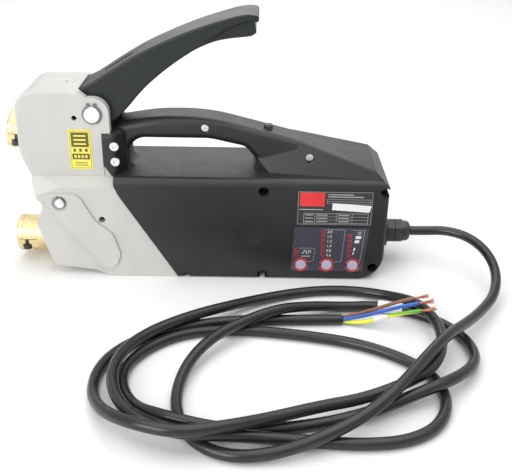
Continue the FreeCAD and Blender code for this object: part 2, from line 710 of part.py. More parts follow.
def squeeze_lever():
    """Channel lever, open underneath, with two inner ribs and a lip turned down at its tip."""
    side = lever_width / 2
    sheet = lever_sheet
    skin = side_plate(from_pin([(-13, 22, 5)] + eased(lever_top) + [(161, 94.2, 3), (160.5, 88.2, 2.2)]
                               + eased(lever_flange + ((-13, -10),))[:-1] + [(-13, -10, 8)]), -side, side)
    rim = edges_at(skin, lambda p: abs(abs(p.y) - side) < 1e-3
                   and p.z - lever_pin_z > 19 + 0.62 * (p.x - lever_pin_x) - 0.00085 * (p.x - lever_pin_x) ** 2)
    skin = skin.makeFillet(2.0, rim)
    ribs = side_plate(from_pin([(rib_start_x, 62), (lip_x + 2.8, 92), (lip_x + 5, 77.6, 0.8)] + eased(lever_rib_foot)),
                      -lever_rib_half, lever_rib_half)
    front_top = [(rib_start_x, 74.8), (49, 59), (23, 43.5), (-1, 28), (-40, 8)]
    front_room = side_plate(from_pin([(-40, -40), (rib_start_x, -40)] + eased(front_top), sheet * 1.2),
                            -side + sheet, side - sheet)
    rear_top = [(lip_x, 95.3), (141, 94), (124, 89), (108, 84), (82, 74), (rib_start_x - 10, 70)]
    rear_room = side_plate(from_pin([(lip_x, 60 + sheet)] + rear_top + [(rib_start_x - 10, 0)], sheet * 1.1),
                           -lever_rib_half + sheet, lever_rib_half - sheet)
    slot = plan_plate([(lever_pin_x + a, b, 2.9) for a, b in ((8, -3), (38, -3), (38, 3), (8, 3))],
                      lever_pin_z + 20, lever_pin_z + 70)
    pin_hole = rod_y(-side - 1, side + 1, lever_pin_x, lever_pin_z, lever_pin_r + running_fit)
    return fuse([skin, ribs]).cut(front_room.multiFuse([rear_room, slot, pin_hole]))


def drive_crank():
    """Crank on the lever pin. It carries the spring seat and the link."""
    hub = rod_y(-6, 6, lever_pin_x, lever_pin_z, 13)
    arm = side_plate([
        (crank_pin_x - 8, crank_pin_z - 8, 7),
        (crank_pin_x + 8, crank_pin_z - 8, 7),
        (lever_pin_x + 13, lever_pin_z, 3),
        (lever_pin_x - 13, lever_pin_z, 3),
    ], -6, 6)
    seat = side_plate([
        (lever_pin_x, lever_pin_z + 4),
        (lever_pin_x + 8, lever_pin_z - 8),
        (lever_pin_x + 30, lever_pin_z + 12, 3),
        (lever_pin_x + 26, lever_pin_z + 17, 3),
    ], -6, 6)
    crank = fuse([hub, arm, seat])
    crank = crank.cut(rod_y(-7, 7, lever_pin_x, lever_pin_z, lever_pin_r + running_fit))
    return crank.cut(rod_y(-7, 7, crank_pin_x, crank_pin_z, link_pin_r + running_fit))


def drive_link():
    """Two flat bars between the crank pin and the jaw pin."""
    along = Vec(jaw_pin_x - crank_pin_x, 0, jaw_pin_z - crank_pin_z)
    length = along.Length
    tilt = math.degrees(math.atan2(-along.z, along.x))
    bar = plan_plate([(-7, -7, 6.9), (length + 7, -7, 6.9), (length + 7, 7, 6.9), (-7, 7, 6.9)], 0, 4)
    bar.rotate(Vec(0, 0, 0), X_AXIS, 90)
    bar.translate(Vec(0, 10.4, 0))
    bar.rotate(Vec(0, 0, 0), Y_AXIS, tilt)
    bar.translate(Vec(crank_pin_x, 0, crank_pin_z))
    bar = bar.cut(rod_y(0, 20, crank_pin_x, crank_pin_z, link_pin_r + running_fit))
    bar = bar.cut(rod_y(0, 20, jaw_pin_x, jaw_pin_z, link_pin_r + open_pivot_fit))
    return both_sides(bar)


adjuster_x = lever_pin_x + 22.0
adjuster_low_z = lever_pin_z + 15.0
adjuster_top_z = lever_pin_z + 30.5


def force_adjuster():
    """Slotted screw under the slot in the lever. It sets the electrode force."""
    shank = rod_z(adjuster_low_z + 2, adjuster_top_z - 4, adjuster_x, 0, 2.5)
    head = rod_z(adjuster_top_z - 4.2, adjuster_top_z, adjuster_x, 0, 6.0)
    screw = fuse([shank, head])
    return screw.cut(box(adjuster_x - 7, adjuster_x + 7, -0.6, 0.6, adjuster_top_z - 1.5, adjuster_top_z + 1))


def force_spring():
    """Stiff coil spring around the adjuster, drawn as the tube that its turns fill."""
    tube = rod_z(adjuster_low_z + 3.5, adjuster_top_z - 4.6, adjuster_x, 0, 5.2)
    return tube.cut(rod_z(adjuster_low_z, adjuster_top_z, adjuster_x, 0, 2.9))


def return_spring():
    """Torsion spring on the lever pin, drawn as the tube that its turns fill."""
    tube = rod_y(11.5, 21.0, lever_pin_x, lever_pin_z, 11.5)
    return tube.cut(rod_y(10, 23, lever_pin_x, lever_pin_z, lever_pin_r + 0.6))


# ---- transformer ------------------------------------------------------------------------
core_rear_x = core_front_x + core_length
core_mid_x = core_front_x + core_length / 2
core_side = core_depth / 2
window_width = (core_length - 4 * core_leg) / 2


def transformer_core():
    stack = box(core_front_x, core_rear_x, -core_side, core_side, core_low_z, core_low_z + core_height)
    for x in (core_front_x + core_leg, core_mid_x + core_leg):
        stack = stack.cut(box(x, x + window_width, -far, far, core_low_z + core_leg, core_low_z + core_height - core_leg))
    return stack


def coil(z0, z1):
    """Ring of winding round the middle leg of the core."""
    inner_x = core_leg + coil_gap
    inner_y = core_side + coil_gap
    outer_x = core_leg + window_width - coil_gap
    outer_y = inner_y + coil_build
    ring = plan_plate([
        (core_mid_x - outer_x, -outer_y, 8),
        (core_mid_x + outer_x, -outer_y, 8),
        (core_mid_x + outer_x, outer_y, 8),
        (core_mid_x - outer_x, outer_y, 8),
    ], z0, z1)
    return ring.cut(box(core_mid_x - inner_x, core_mid_x + inner_x, -inner_y, inner_y, z0 - 1, z1 + 1))


primary_low_z = core_low_z + core_leg + coil_gap
secondary_low_z = primary_low_z + primary_height + coil_gap
secondary_top_z = secondary_low_z + secondary_height


bar_low_y = core_side + 4.5
bar_high_y = core_side + coil_gap + coil_build - 0.5


def secondary_bar():
    """Copper bar from the secondary turn down to the fixed jaw."""
    back = lower_front_x + holder_length
    jaw_top = lower_axis_z + holder_r + 7
    x0 = core_front_x - 12
    run = box(x0, core_mid_x - 10, bar_low_y, bar_high_y, secondary_top_z, secondary_top_z + 5)
    drop = box(x0, x0 + 5, bar_low_y, bar_high_y, jaw_top, secondary_top_z + 5)
    foot = box(back + 12, x0 + 5, -9, bar_high_y, jaw_top, jaw_top + 5)
    bar = fuse([run, drop, foot])
    return bar.cut(rod_z(jaw_top - 2, jaw_top + 8, back + 22, 0, 4.0 + running_fit))


def shunt_strap():
    """Flexible laminated copper strap from the secondary turn up to the rocking jaw."""
    x0 = core_front_x - 10
    top = secondary_top_z
    run = box(x0, core_mid_x - 10, -bar_high_y, -bar_low_y, top, top + 4)
    cross = box(x0, x0 + 6, -bar_high_y, 10, top, top + 4)
    rise = side_plate([
        (x0 + 3, top),
        (x0 + 3, top + 4),
        (-92, top + 8, 6),
        (-112, 106, 12),
        (-131, 114, 4),
        (-136, 114),
        (-117, 101, 8),
        (-96, top + 3, 8),
    ], -10, 10)
    return fuse([run, cross, rise])


def jaw_bolt():
    back = lower_front_x + holder_length
    jaw_top = lower_axis_z + holder_r + 7
    head = rod_z(jaw_top + 5, jaw_top + 11, back + 22, 0, 6.5)
    return fuse([head, rod_z(lower_axis_z + 4, jaw_top + 5.5, back + 22, 0, 4.0)])


def core_clamps():
    """Two straps that hold the core down, the front one on the base and the rear one on the shells."""
    straps = []
    top = core_low_z + core_height
    for x, floor in ((core_front_x + 3, base_wall), (core_rear_x - 11, wall)):
        bridge = box(x, x + 8, -core_side - 3.3, core_side + 3.3, top + 0.3, top + 3.3)
        legs = [box(x, x + 8, s * (core_side + 1.8) - 1.5, s * (core_side + 1.8) + 1.5, floor, top + 3.3) for s in (-1, 1)]
        straps.append(fuse([bridge] + legs))
    return straps


def core_pads():
    """Rubber pads under the two ends of the core."""
    front = box(core_front_x + 2, core_front_x + 14, -20, 20, base_wall, core_low_z)
    rear = box(core_rear_x - 16, core_rear_x - 4, -20, 20, wall, core_low_z)
    return [front, rear]


# ---- electronics and controls -----------------------------------------------------------
board_y = -half + wall + board_stand_off


def control_board():
    return box(76, 156, board_y, board_y + board_thick, 8, 70)


def board_parts():
    """Capacitors, relay and tact switches on the control board."""
    back = board_y + board_thick
    parts = [box(84, 104, back, back + 12, 46, 64), box(128, 154, back, back + 9, 14, 34)]
    parts += [rod_y(back, back + 14, 116 + 12 * i, 56, 4.6) for i in range(3)]
    parts += [box(x - 3, x + 3, board_y - 1.5, board_y, button_z - 3, button_z + 3) for x in button_xs]
    return parts


def power_module():
    """Thyristor pack and its finned heat sink."""
    pack = box(92, 144, 10, 24, 14, 44)
    sink = box(88, 148, 24.3, 30, 10, 60)
    fins = [box(88, 148, 30, 42, 10.0 + 8 * i, 12.0 + 8 * i) for i in range(7)]
    return pack, fuse([sink] + fins)


def push_button(x):
    cap = rod_y(-half - 1.6, -half + 0.6, x, button_z, button_r)
    cap = cap.makeFillet(0.7, edges_at(cap, lambda p: abs(p.y + half + 1.6) < 1e-3))
    stem = rod_y(-half, board_y - 1.5 - button_travel - 0.3, x, button_z, 2.5)
    return fuse([cap, stem])


def panel_overlay():
    sheet = side_plate([(82.0, 60.5, 2), (158.5, 60.5, 2), (155.0, 10.5, 2), (79.5, 10.5, 2)], -half - overlay_thick, -half)
    for x in button_xs:
        sheet = sheet.cut(rod_y(-half - 1, -half + 1, x, button_z, button_r + 0.3))
    for x, z in led_places():
        sheet = sheet.cut(rod_y(-half - 1, -half + 1, x, z, led_r + 0.15))
    return sheet


def rating_plate():
    return side_plate([(84.0, 63.5, 1.5), (160.0, 63.5, 1.5), (160.0, 101.0, 1.5), (84.0, 101.0, 1.5)], -half - plate_thick, -half)


def head_label():
    y = -hood_half
    return side_plate([(-143.5, 156.5), (-121.0, 156.5), (-121.0, 115.0), (-143.5, 115.0)], y - plate_thick, y)


def indicator_lamps():
    lamps = []
    for x, z in led_places():
        lamps.append(rod_y(-half - 0.9, board_y, x, z, led_r))
    return lamps


plunger_low_z = hump_ridge_z - 8.0


def handle_surface_z(x):
    return handle_top_z - handle_fall * (x + 8)


def start_plunger():
    top = handle_surface_z(plunger_x) + plunger_proud
    stem = rod_z(plunger_low_z, top, plunger_x, 0, plunger_r)
    stem = stem.makeFillet(1.2, edges_at(stem, lambda p: abs(p.z - top) < 1e-3))
    collar = rod_z(plunger_low_z, plunger_low_z + 2, plunger_x, 0, plunger_r + 2)
    return fuse([stem, collar])


def start_switch():
    top = plunger_low_z - plunger_travel - 0.5
    body = box(plunger_x - 6.5, plunger_x + 21.5, -7, 7, top - 16, top - 1.5)
    nub = box(plunger_x - 2, plunger_x + 2, -3, 3, top - 2, top)
    return fuse([body, nub])


def plunger_spring():
    low = plunger_low_z - plunger_travel - 2.0
    tube = rod_z(low, plunger_low_z - 0.05, plunger_x, 0, 6.2)
    return tube.cut(rod_z(low - 1, plunger_low_z + 1, plunger_x, 0, 5.0)).cut(
        box(plunger_x - 20, plunger_x + 20, -4, 4, low - 1, low + 0.0))


# ---- cable gland and cable --------------------------------------------------------------
def hexagon_x(x0, x1, across_flats, z):
    radius = across_flats / math.sqrt(3)
    corners = [(radius * math.sin(math.radians(60 * i)), z + radius * math.cos(math.radians(60 * i))) for i in range(6)]
    return front_plate(corners, x0, x1)


def gland_body():
    hexagon = hexagon_x(gland_boss_x, gland_boss_x + gland_hex_length / 2, gland_hex_af, gland_z)
    bevel = rod_x(gland_boss_x, gland_hex_x, 0, gland_z, gland_hex_af / 2 + 1.2)
    thread = rod_x(body_rear_x - wall - 7, gland_boss_x + 1, 0, gland_z, gland_thread_r)
    return fuse([hexagon.common(bevel), thread]).cut(rod_x(0, far, 0, gland_z, cord_d / 2 + 2.6))


def gland_nut():
    start = gland_boss_x + gland_hex_length / 2 + 0.6
    hexagon = hexagon_x(start, gland_hex_x, gland_hex_af, gland_z)
    hexagon = hexagon.common(rod_x(start, gland_hex_x, 0, gland_z, gland_hex_af / 2 + 1.2))
    dome = rod_x(gland_hex_x, gland_end_x, 0, gland_z, gland_dome_r)
    dome = dome.makeFillet(5.0, edges_at(dome, lambda p: abs(p.x - gland_end_x) < 1e-3))
    return fuse([hexagon, dome]).cut(rod_x(0, far, 0, gland_z, cord_d / 2 + 2.6))


def gland_seal():
    ring = rod_x(gland_boss_x - 4, gland_end_x - 0.5, 0, gland_z, cord_d / 2 + 2.4)
    return ring.cut(rod_x(0, far, 0, gland_z, cord_d / 2 + running_fit))


def gland_locknut():
    inside = body_rear_x - wall
    nut = rod_x(inside - 6, inside - 1, 0, gland_z, gland_hex_af / 2)
    for i in range(6):
        slot = box(inside - 7, inside, gland_hex_af / 2 - 1.5, gland_hex_af, gland_z - 1.5, gland_z + 1.5)
        slot.rotate(Vec(0, 0, gland_z), X_AXIS, 60 * i)
        nut = nut.cut(slot)
    return nut.cut(rod_x(0, far, 0, gland_z, gland_thread_r + running_fit))


low = floor_layer
mid = second_layer
high = third_layer
tag_run = ((160, -109, low), (192, -117, low))
cord_route = [
    (gland_end_x - 14, 0, gland_z), (224, 0, gland_z), (249, -5, 37.5), (270, -19, 37), (284, -41, 32), (289, -68, 23),
    (281, -98, 14), (262, -126, 13), (239, -157, 18), (214, -188, high), (186, -226, 26.8), (160, -263, 25.5), (130, -290, 18),
    (98, -311, mid), (62, -322, 8), (26, -324, low), (-3, -308, low), (-18, -277, low), (-21, -243, low),
    (-13, -210, 10), (6, -182, mid), (34, -156, 16), (66, -135, 16.4), (98, -121, 11), (131, -112, low),
    tag_run[0], tag_run[1], (222, -138, low), (240, -169, low), (238, -205, 8), (213, -237, mid),
    (180, -256, mid), (142, -270, 7), (104, -283, low), (66, -291, low), (30, -296, 6.5), (-2, -300, 16.2),
    (-31, -289, mid), (-54, -268, 6), (-68, -240, low), (-68, -211, low), (-50, -182, low), (-22, -162, low),
    (16, -155, low), (58, -158, low), (100, -165, low), (138, -175, low), (172, -194, low), (196, -218, low),
    (203, -252, low), (191, -284, low), (164, -303, low), (129, -308, low), (94, -306, low), (60, -304, 6.5),
    (25, -309, 13.5), (-10, -311, mid), (-42, -300, mid), (-65, -274, mid), (-76, -240, mid), (-72, -206, mid),
    (-52, -176, mid), (-20, -151, mid), (12, -129, 13), (46, -104, 7), (80, -88, low), (112, -81, low),
    (144, -81, low), (175, -92, 7), (200, -118, mid), (213, -152, mid), (211, -188, mid), (196, -224, mid),
    (168, -246, mid), (132, -262, 12), (94, -276, 14.5), (56, -294, 17.5), (24, -312, 24.5), (-12, -322, high),
    (-48, -312, high), (-76, -284, 14), (-91, -250, low), (-91, -214, low), (-74, -183, low), (-45, -161, low),
    (-8, -146, low), (34, -138, low), (80, -137, low), (126, -135, low),
]


def tube(points, diameter, report=None):
    """Round tube of straight runs joined by tangent arcs, as large as the runs allow."""
    places = [Vec(*p) for p in points]
    edges = []
    last = places[0]
    radii = []
    for before, corner, after in zip(places, places[1:], places[2:]):
        back = before - corner
        ahead = after - corner
        shorter = min(back.Length, ahead.Length)
        turn = math.pi - back.getAngle(ahead)
        cut = 0.45 * shorter
        radius = cut / math.tan(turn / 2)
        radii.append((radius, corner))
        back.normalize()
        ahead.normalize()
        start = corner + back * cut
        finish = corner + ahead * cut
        inward = (back + ahead).normalize()
        middle = corner + inward * (radius / math.cos(turn / 2) - radius)
        edges.append(Part.LineSegment(last, start).toShape())
        edges.append(Part.Arc(start, middle, finish).toShape())
        last = finish
    edges.append(Part.LineSegment(last, places[-1]).toShape())
    path = Part.Wire(edges)
    circle = Part.Wire(Part.Circle(places[0], places[1] - places[0], diameter / 2).toShape())
    solid = path.makePipeShell([circle], True, False)
    if report:
        tightest = sorted(radii, key=lambda item: item[0])[:4]
        notes = ", ".join(f"{r:.0f} at ({c.x:.0f}, {c.y:.0f})" for r, c in tightest)
        section = math.pi * diameter ** 2 / 4
        print(f"{report}: length {path.Length:.0f}, smallest radii {notes}, "
              f"volume over section times length {solid.Volume / section / path.Length:.4f}")
    return solid


sheath_end = Vec(*cord_route[-1])
core_routes = {
    "brown_core": [(0.6, 2.0, 1.3), (18, 4, 5), (37, 5, 11), (56, 6.5, 18), (69, 8.2, 20), (83, 16.2, 22)],
    "blue_core": [(0.6, -1.7, 1.2), (18, -0.2, 3.8), (36, -1, 10), (56, -1.4, 17), (72, -0.7, 20), (88, 7, 22)],
    "earth_core": [(0.6, -0.2, -2.2), (18, -5.2, -0.8), (36, -6.6, 7), (56, -9.6, 14.5), (72, -11.3, 18.5), (87, -2, 21)],
}
bare_length = 15.0


def core_with_end(offsets):
    """One insulated core and its bare copper end."""
    points = [Vec(sheath_end.x + dx, sheath_end.y + dy, sheath_end.z + dz) for dx, dy, dz in offsets]
    insulation = tube([tuple(p) for p in points[:-1]], core_d)
    direction = (points[-1] - points[-2]).normalize()
    strands = Part.makeCylinder(strand_d / 2, bare_length, points[-2] + direction * 1.0, direction)
    return insulation, strands


def cord_tag():
    """Paper tag wrapped over the cable, open underneath."""
    along = Vec(*tag_run[1]) - Vec(*tag_run[0])
    start = Vec(*tag_run[0]) + along * 0.12
    ring = Part.makeCylinder(cord_d / 2 + 1.1, along.Length * 0.72, start, along)
    ring = ring.cut(Part.makeCylinder(cord_d / 2 + 0.7, far, start - along * 2, along))
    return ring.cut(box(-far, far, -far, far, -10, 1.0))


# ---- fasteners --------------------------------------------------------------------------
def joining_screw(x, z):
    """Cross-slotted screw that joins the two shells."""
    seat = screw_seat(x, z)
    head = rod_y(-seat - 2.6, -seat, x, z, screw_head_r)
    head = head.cut(box(x - 0.5, x + 0.5, -seat - 3, -seat - 1.6, z - 2.4, z + 2.4))
    head = head.cut(box(x - 2.4, x + 2.4, -seat - 3, -seat - 1.6, z - 0.5, z + 0.5))
    return fuse([head, rod_y(-seat - 0.5, seat - 2, x, z, screw_r)])


def ear_screws():
    screws = []
    for x, z in ear_screw_places:
        head = rod_y(-column_half - 2.0, -column_half, x, z, ear_head_r)
        head = head.cut(rod_y(-column_half - 3, -column_half - 0.8, x, z, 1.7))
        screws.append(fuse([head, rod_y(-column_half - 0.5, -column_half + wall + 5, x, z, ear_screw_r)]))
    return screws + [mirrored(s) for s in screws]


def circlips(x, z, pin_r, over, y0):
    return both_sides(circlip(x, z, pin_r, over, y0))


# ---- build ------------------------------------------------------------------------------
os.makedirs("parts", exist_ok=True)

left_shell, right_shell = shells()
save("left_body_shell", left_shell)
save("right_body_shell", right_shell)
save("head_hood", head_hood())
save("head_base", head_base())

save("upper_jaw", upper_jaw())
save("upper_holder", turned(holder(upper_front_x, upper_axis_z), fulcrum_x, fulcrum_z, jaw_travel))
save("upper_clamp_screw", turned(clamp_screw(upper_front_x, upper_axis_z), fulcrum_x, fulcrum_z, jaw_travel))
save("jaw_pin", pin_with_ends(jaw_pin_x, jaw_pin_z, link_pin_r, 11.5))
save("lower_jaw", lower_jaw())
save("lower_holder", holder(lower_front_x, lower_axis_z))
save("lower_clamp_screw", clamp_screw(lower_front_x, lower_axis_z))
save("jaw_bolt", jaw_bolt())

cheek_face = base_half + cheek_raise
save("fulcrum_pin", pin_with_ends(fulcrum_x, fulcrum_z, fulcrum_pin_r, cheek_face + 1.5))
save("fulcrum_circlips", circlips(fulcrum_x, fulcrum_z, fulcrum_pin_r, fulcrum_clip_over, cheek_face - 1.4))
save("lever_pin", pin_with_ends(lever_pin_x, lever_pin_z, lever_pin_r, hood_half + 3.0))
save("lever_circlips", circlips(lever_pin_x, lever_pin_z, lever_pin_r, circlip_over, hood_half + 0.4))

save("squeeze_lever", squeeze_lever())
save("drive_crank", drive_crank())
save("crank_pin", pin_with_ends(crank_pin_x, crank_pin_z, link_pin_r, 11.5))
save("drive_link", drive_link())
save("force_adjuster", force_adjuster())
save("force_spring", force_spring())
save("return_spring", return_spring())

save("transformer_core", transformer_core())
save("primary_coil", coil(primary_low_z, primary_low_z + primary_height))
save("secondary_turn", coil(secondary_low_z, secondary_top_z))
save("secondary_bar", secondary_bar())
save("shunt_strap", shunt_strap())
save("core_clamps", core_clamps())
save("core_pads", core_pads())

save("control_board", control_board())
save("board_parts", board_parts())
module, heat_sink = power_module()
save("power_module", module)
save("heat_sink", heat_sink)
save("panel_overlay", panel_overlay())
save("rating_plate", rating_plate())
save("head_label", head_label())
save("indicator_lamps", indicator_lamps())
for name, x in zip(("left_button", "middle_button", "right_button"), button_xs):
    save(name, push_button(x))
save("start_plunger", start_plunger())
save("plunger_spring", plunger_spring())
save("start_switch", start_switch())

save("gland_body", gland_body())
save("gland_nut", gland_nut())
save("gland_seal", gland_seal())
save("gland_locknut", gland_locknut())
save("power_cord", tube(cord_route, cord_d, "power_cord"))
ends = []
for name, offsets in core_routes.items():
    insulation, strands = core_with_end(offsets)
    save(name, insulation)
    ends.append(strands)
save("copper_ends", ends)
save("cord_tag", cord_tag())

save("shell_screws", [joining_screw(x, z) for x, z in shell_screw_places])
save("handle_screws", [joining_screw(x, z) for x, z in handle_screw_places])
save("ear_screws", ear_screws())
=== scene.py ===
import math
import random
from collections import namedtuple

import bpy
from mathutils import Matrix, Vector


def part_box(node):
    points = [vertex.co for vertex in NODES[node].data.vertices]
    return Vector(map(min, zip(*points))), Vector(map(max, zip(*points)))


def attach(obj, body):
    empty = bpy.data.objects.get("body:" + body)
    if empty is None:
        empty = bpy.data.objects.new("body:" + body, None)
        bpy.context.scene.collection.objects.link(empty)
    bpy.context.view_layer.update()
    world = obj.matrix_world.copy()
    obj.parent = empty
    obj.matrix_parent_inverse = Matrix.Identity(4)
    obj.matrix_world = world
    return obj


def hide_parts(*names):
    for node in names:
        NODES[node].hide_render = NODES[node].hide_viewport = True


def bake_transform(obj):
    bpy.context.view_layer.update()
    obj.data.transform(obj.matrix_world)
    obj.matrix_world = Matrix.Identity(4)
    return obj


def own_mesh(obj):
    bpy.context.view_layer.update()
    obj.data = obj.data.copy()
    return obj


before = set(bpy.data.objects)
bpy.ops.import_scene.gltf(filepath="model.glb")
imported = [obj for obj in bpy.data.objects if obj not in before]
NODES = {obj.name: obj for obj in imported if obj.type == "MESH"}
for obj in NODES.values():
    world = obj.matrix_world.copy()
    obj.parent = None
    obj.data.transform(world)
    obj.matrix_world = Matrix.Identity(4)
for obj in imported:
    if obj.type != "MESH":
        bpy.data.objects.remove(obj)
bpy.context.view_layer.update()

MM = 0.001
SCENE = bpy.context.scene
draw = random.Random(11)


def mm(x, y, z):
    """A point given in millimetres."""
    return Vector((x, y, z)) * MM


# ---- camera -----------------------------------------------------------------------------
CAMERA_LENS = 54.84
CAMERA_PLACE = mm(43.0, -762.9, 412.4)
CAMERA_TILT = math.radians(63.0)
CAMERA_ROLL = math.radians(0.9)


def make_camera():
    data = bpy.data.cameras.new("camera")
    data.lens = CAMERA_LENS
    camera = bpy.data.objects.new("camera", data)
    SCENE.collection.objects.link(camera)
    tilt = Matrix.Rotation(CAMERA_TILT, 4, "X")
    roll = Matrix.Rotation(CAMERA_ROLL, 4, "Z")
    camera.matrix_world = Matrix.Translation(CAMERA_PLACE) @ tilt @ roll
    SCENE.camera = camera


make_camera()


# ---- supply cable -----------------------------------------------------------------------
CABLE_DIAMETER = 0.010
CORE_DIAMETER = 0.0036
SLEEVE_WALL = 0.00025
STRAND_RADIUS = 0.00019
STRANDS_PER_CORE = 16
BARE_LENGTH = 0.0155
BUNDLE_RADIUS = 0.00075
SHEATH_END = Vector((0.126, -0.135, 0.005))

cable_route = [
    (0.196, 0, 0.034), (0.224, 0, 0.034), (0.249, -0.005, 0.0375), (0.27, -0.019, 0.037),
    (0.284, -0.041, 0.032), (0.289, -0.068, 0.023), (0.281, -0.098, 0.014), (0.262, -0.126, 0.013),
    (0.239, -0.157, 0.018),
    (0.214, -0.188, 0.0262), (0.186, -0.226, 0.0268), (0.16, -0.263, 0.0255), (0.13, -0.29, 0.018),
    (0.098, -0.311, 0.0156), (0.062, -0.322, 0.008), (0.026, -0.324, 0.005), (-0.003, -0.308, 0.005),
    (-0.018, -0.277, 0.005), (-0.021, -0.243, 0.005), (-0.013, -0.21, 0.01), (0.006, -0.182, 0.0156),
    (0.034, -0.156, 0.016), (0.066, -0.135, 0.0164), (0.098, -0.121, 0.011), (0.131, -0.112, 0.005),
    (0.16, -0.109, 0.005), (0.192, -0.117, 0.005), (0.222, -0.138, 0.005), (0.24, -0.169, 0.005),
    (0.238, -0.205, 0.008), (0.213, -0.237, 0.0156), (0.18, -0.256, 0.0156), (0.142, -0.27, 0.007),
    (0.104, -0.283, 0.005), (0.066, -0.291, 0.005), (0.03, -0.296, 0.0065), (-0.002, -0.3, 0.0162),
    (-0.031, -0.289, 0.0156), (-0.054, -0.268, 0.006), (-0.068, -0.24, 0.005), (-0.068, -0.211, 0.005),
    (-0.05, -0.182, 0.005), (-0.022, -0.162, 0.005), (0.016, -0.155, 0.005), (0.058, -0.158, 0.005),
    (0.1, -0.165, 0.005), (0.138, -0.175, 0.005), (0.172, -0.194, 0.005), (0.196, -0.218, 0.005),
    (0.203, -0.252, 0.005), (0.191, -0.284, 0.005), (0.164, -0.303, 0.005), (0.129, -0.308, 0.005),
    (0.094, -0.306, 0.005), (0.06, -0.304, 0.0065), (0.025, -0.309, 0.0135), (-0.01, -0.311, 0.0156),
    (-0.042, -0.3, 0.0156), (-0.065, -0.274, 0.0156), (-0.076, -0.24, 0.0156), (-0.072, -0.206, 0.0156),
    (-0.052, -0.176, 0.0156), (-0.02, -0.151, 0.0156), (0.012, -0.129, 0.013), (0.046, -0.104, 0.007),
    (0.08, -0.088, 0.005), (0.112, -0.081, 0.005), (0.144, -0.081, 0.005), (0.175, -0.092, 0.007),
    (0.2, -0.118, 0.0156), (0.213, -0.152, 0.0156), (0.211, -0.188, 0.0156), (0.196, -0.224, 0.0156),
    (0.168, -0.246, 0.0156), (0.132, -0.262, 0.012), (0.094, -0.276, 0.0145), (0.056, -0.294, 0.0175),
    (0.024, -0.312, 0.0245), (-0.012, -0.322, 0.0262), (-0.048, -0.312, 0.0262), (-0.076, -0.284, 0.014),
    (-0.091, -0.25, 0.005), (-0.091, -0.214, 0.005), (-0.074, -0.183, 0.005), (-0.045, -0.161, 0.005),
    (-0.008, -0.146, 0.005), (0.034, -0.138, 0.005), (0.08, -0.137, 0.005), (0.126, -0.135, 0.005),
]

# Routes of the three cores, counted from the end of the sheath.
core_routes = {
    "brown": [(0.0006, 0.002, 0.0013), (0.018, 0.004, 0.005), (0.037, 0.005, 0.011), (0.056, 0.0065, 0.018),
              (0.069, 0.0082, 0.020)],
    "blue": [(0.0006, -0.0017, 0.0012), (0.018, -0.0002, 0.0038), (0.036, -0.001, 0.010),
             (0.056, -0.0014, 0.017), (0.072, -0.0007, 0.020)],
    "earth": [(0.0006, -0.0002, -0.0022), (0.018, -0.0052, -0.0008), (0.036, -0.0066, 0.007),
              (0.056, -0.0096, 0.0145), (0.072, -0.0113, 0.0185)],
}


def smooth_curve(name, points):
    """An open NURBS curve with these control points."""
    curve = bpy.data.curves.new(name, "CURVE")
    curve.dimensions = "3D"
    spline = curve.splines.new("NURBS")
    spline.points.add(len(points) - 1)
    for place, point in zip(spline.points, points):
        place.co = (point[0], point[1], point[2], 1.0)
    spline.order_u = 3
    spline.use_endpoint_u = True
    return curve


def line_of(points, resolution):
    """Points along the smooth curve through a route."""
    curve = smooth_curve("line", points)
    curve.resolution_u = resolution
    piece = bpy.data.objects.new("line", curve)
    SCENE.collection.objects.link(piece)
    bpy.context.view_layer.update()
    mesh = bpy.data.meshes.new_from_object(piece)
    line = [vertex.co.copy() for vertex in mesh.vertices]
    bpy.data.meshes.remove(mesh)
    bpy.data.objects.remove(piece)
    bpy.data.curves.remove(curve)
    return line


def lay_cable():
    curve = smooth_curve("supply_cable", cable_route)
    curve.resolution_u = 10
    curve.bevel_depth = CABLE_DIAMETER / 2
    curve.bevel_resolution = 6
    curve.use_fill_caps = True
    cable = bpy.data.objects.new("supply_cable", curve)
    SCENE.collection.objects.link(cable)
    return cable


supply_cable = lay_cable()


# ---- shader node groups -----------------------------------------------------------------
def socket(tree, name, way, kind, value=None):
    made = tree.interface.new_socket(name=name, in_out=way, socket_type=kind)
    if value is not None:
        made.default_value = value
    return made


def new_group(name, inputs, outputs):
    """An empty node group with the given sockets, and its two end nodes."""
    tree = bpy.data.node_groups.new(name, "ShaderNodeTree")
    for label, kind, value in inputs:
        socket(tree, label, "INPUT", kind, value)
    for label, kind in outputs:
        socket(tree, label, "OUTPUT", kind)
    return tree, tree.nodes.new("NodeGroupInput"), tree.nodes.new("NodeGroupOutput")


def maths(tree, operation, a, b=None, clamp=False):
    """A maths node. Each of a and b is a socket or a number."""
    node = tree.nodes.new("ShaderNodeMath")
    node.operation = operation
    node.use_clamp = clamp
    for place, value in enumerate((a, b)):
        if isinstance(value, bpy.types.NodeSocket):
            tree.links.new(value, node.inputs[place])
        elif value is not None:
            node.inputs[place].default_value = value
    return node.outputs[0]


def mixed(tree, factor, a, b):
    """A colour mix. a and b are sockets or colours."""
    node = tree.nodes.new("ShaderNodeMix")
    node.data_type = "RGBA"
    tree.links.new(factor, node.inputs["Factor"])
    for place, value in ((6, a), (7, b)):
        if isinstance(value, bpy.types.NodeSocket):
            tree.links.new(value, node.inputs[place])
        else:
            node.inputs[place].default_value = (*value, 1.0)
    return node.outputs[2]


def noise(tree, vector, scale, detail=2.0, roughness=0.5):
    node = tree.nodes.new("ShaderNodeTexNoise")
    tree.links.new(vector, node.inputs["Vector"])
    node.inputs["Detail"].default_value = detail
    node.inputs["Roughness"].default_value = roughness
    if isinstance(scale, bpy.types.NodeSocket):
        tree.links.new(scale, node.inputs["Scale"])
    else:
        node.inputs["Scale"].default_value = scale
    return node.outputs["Fac"]


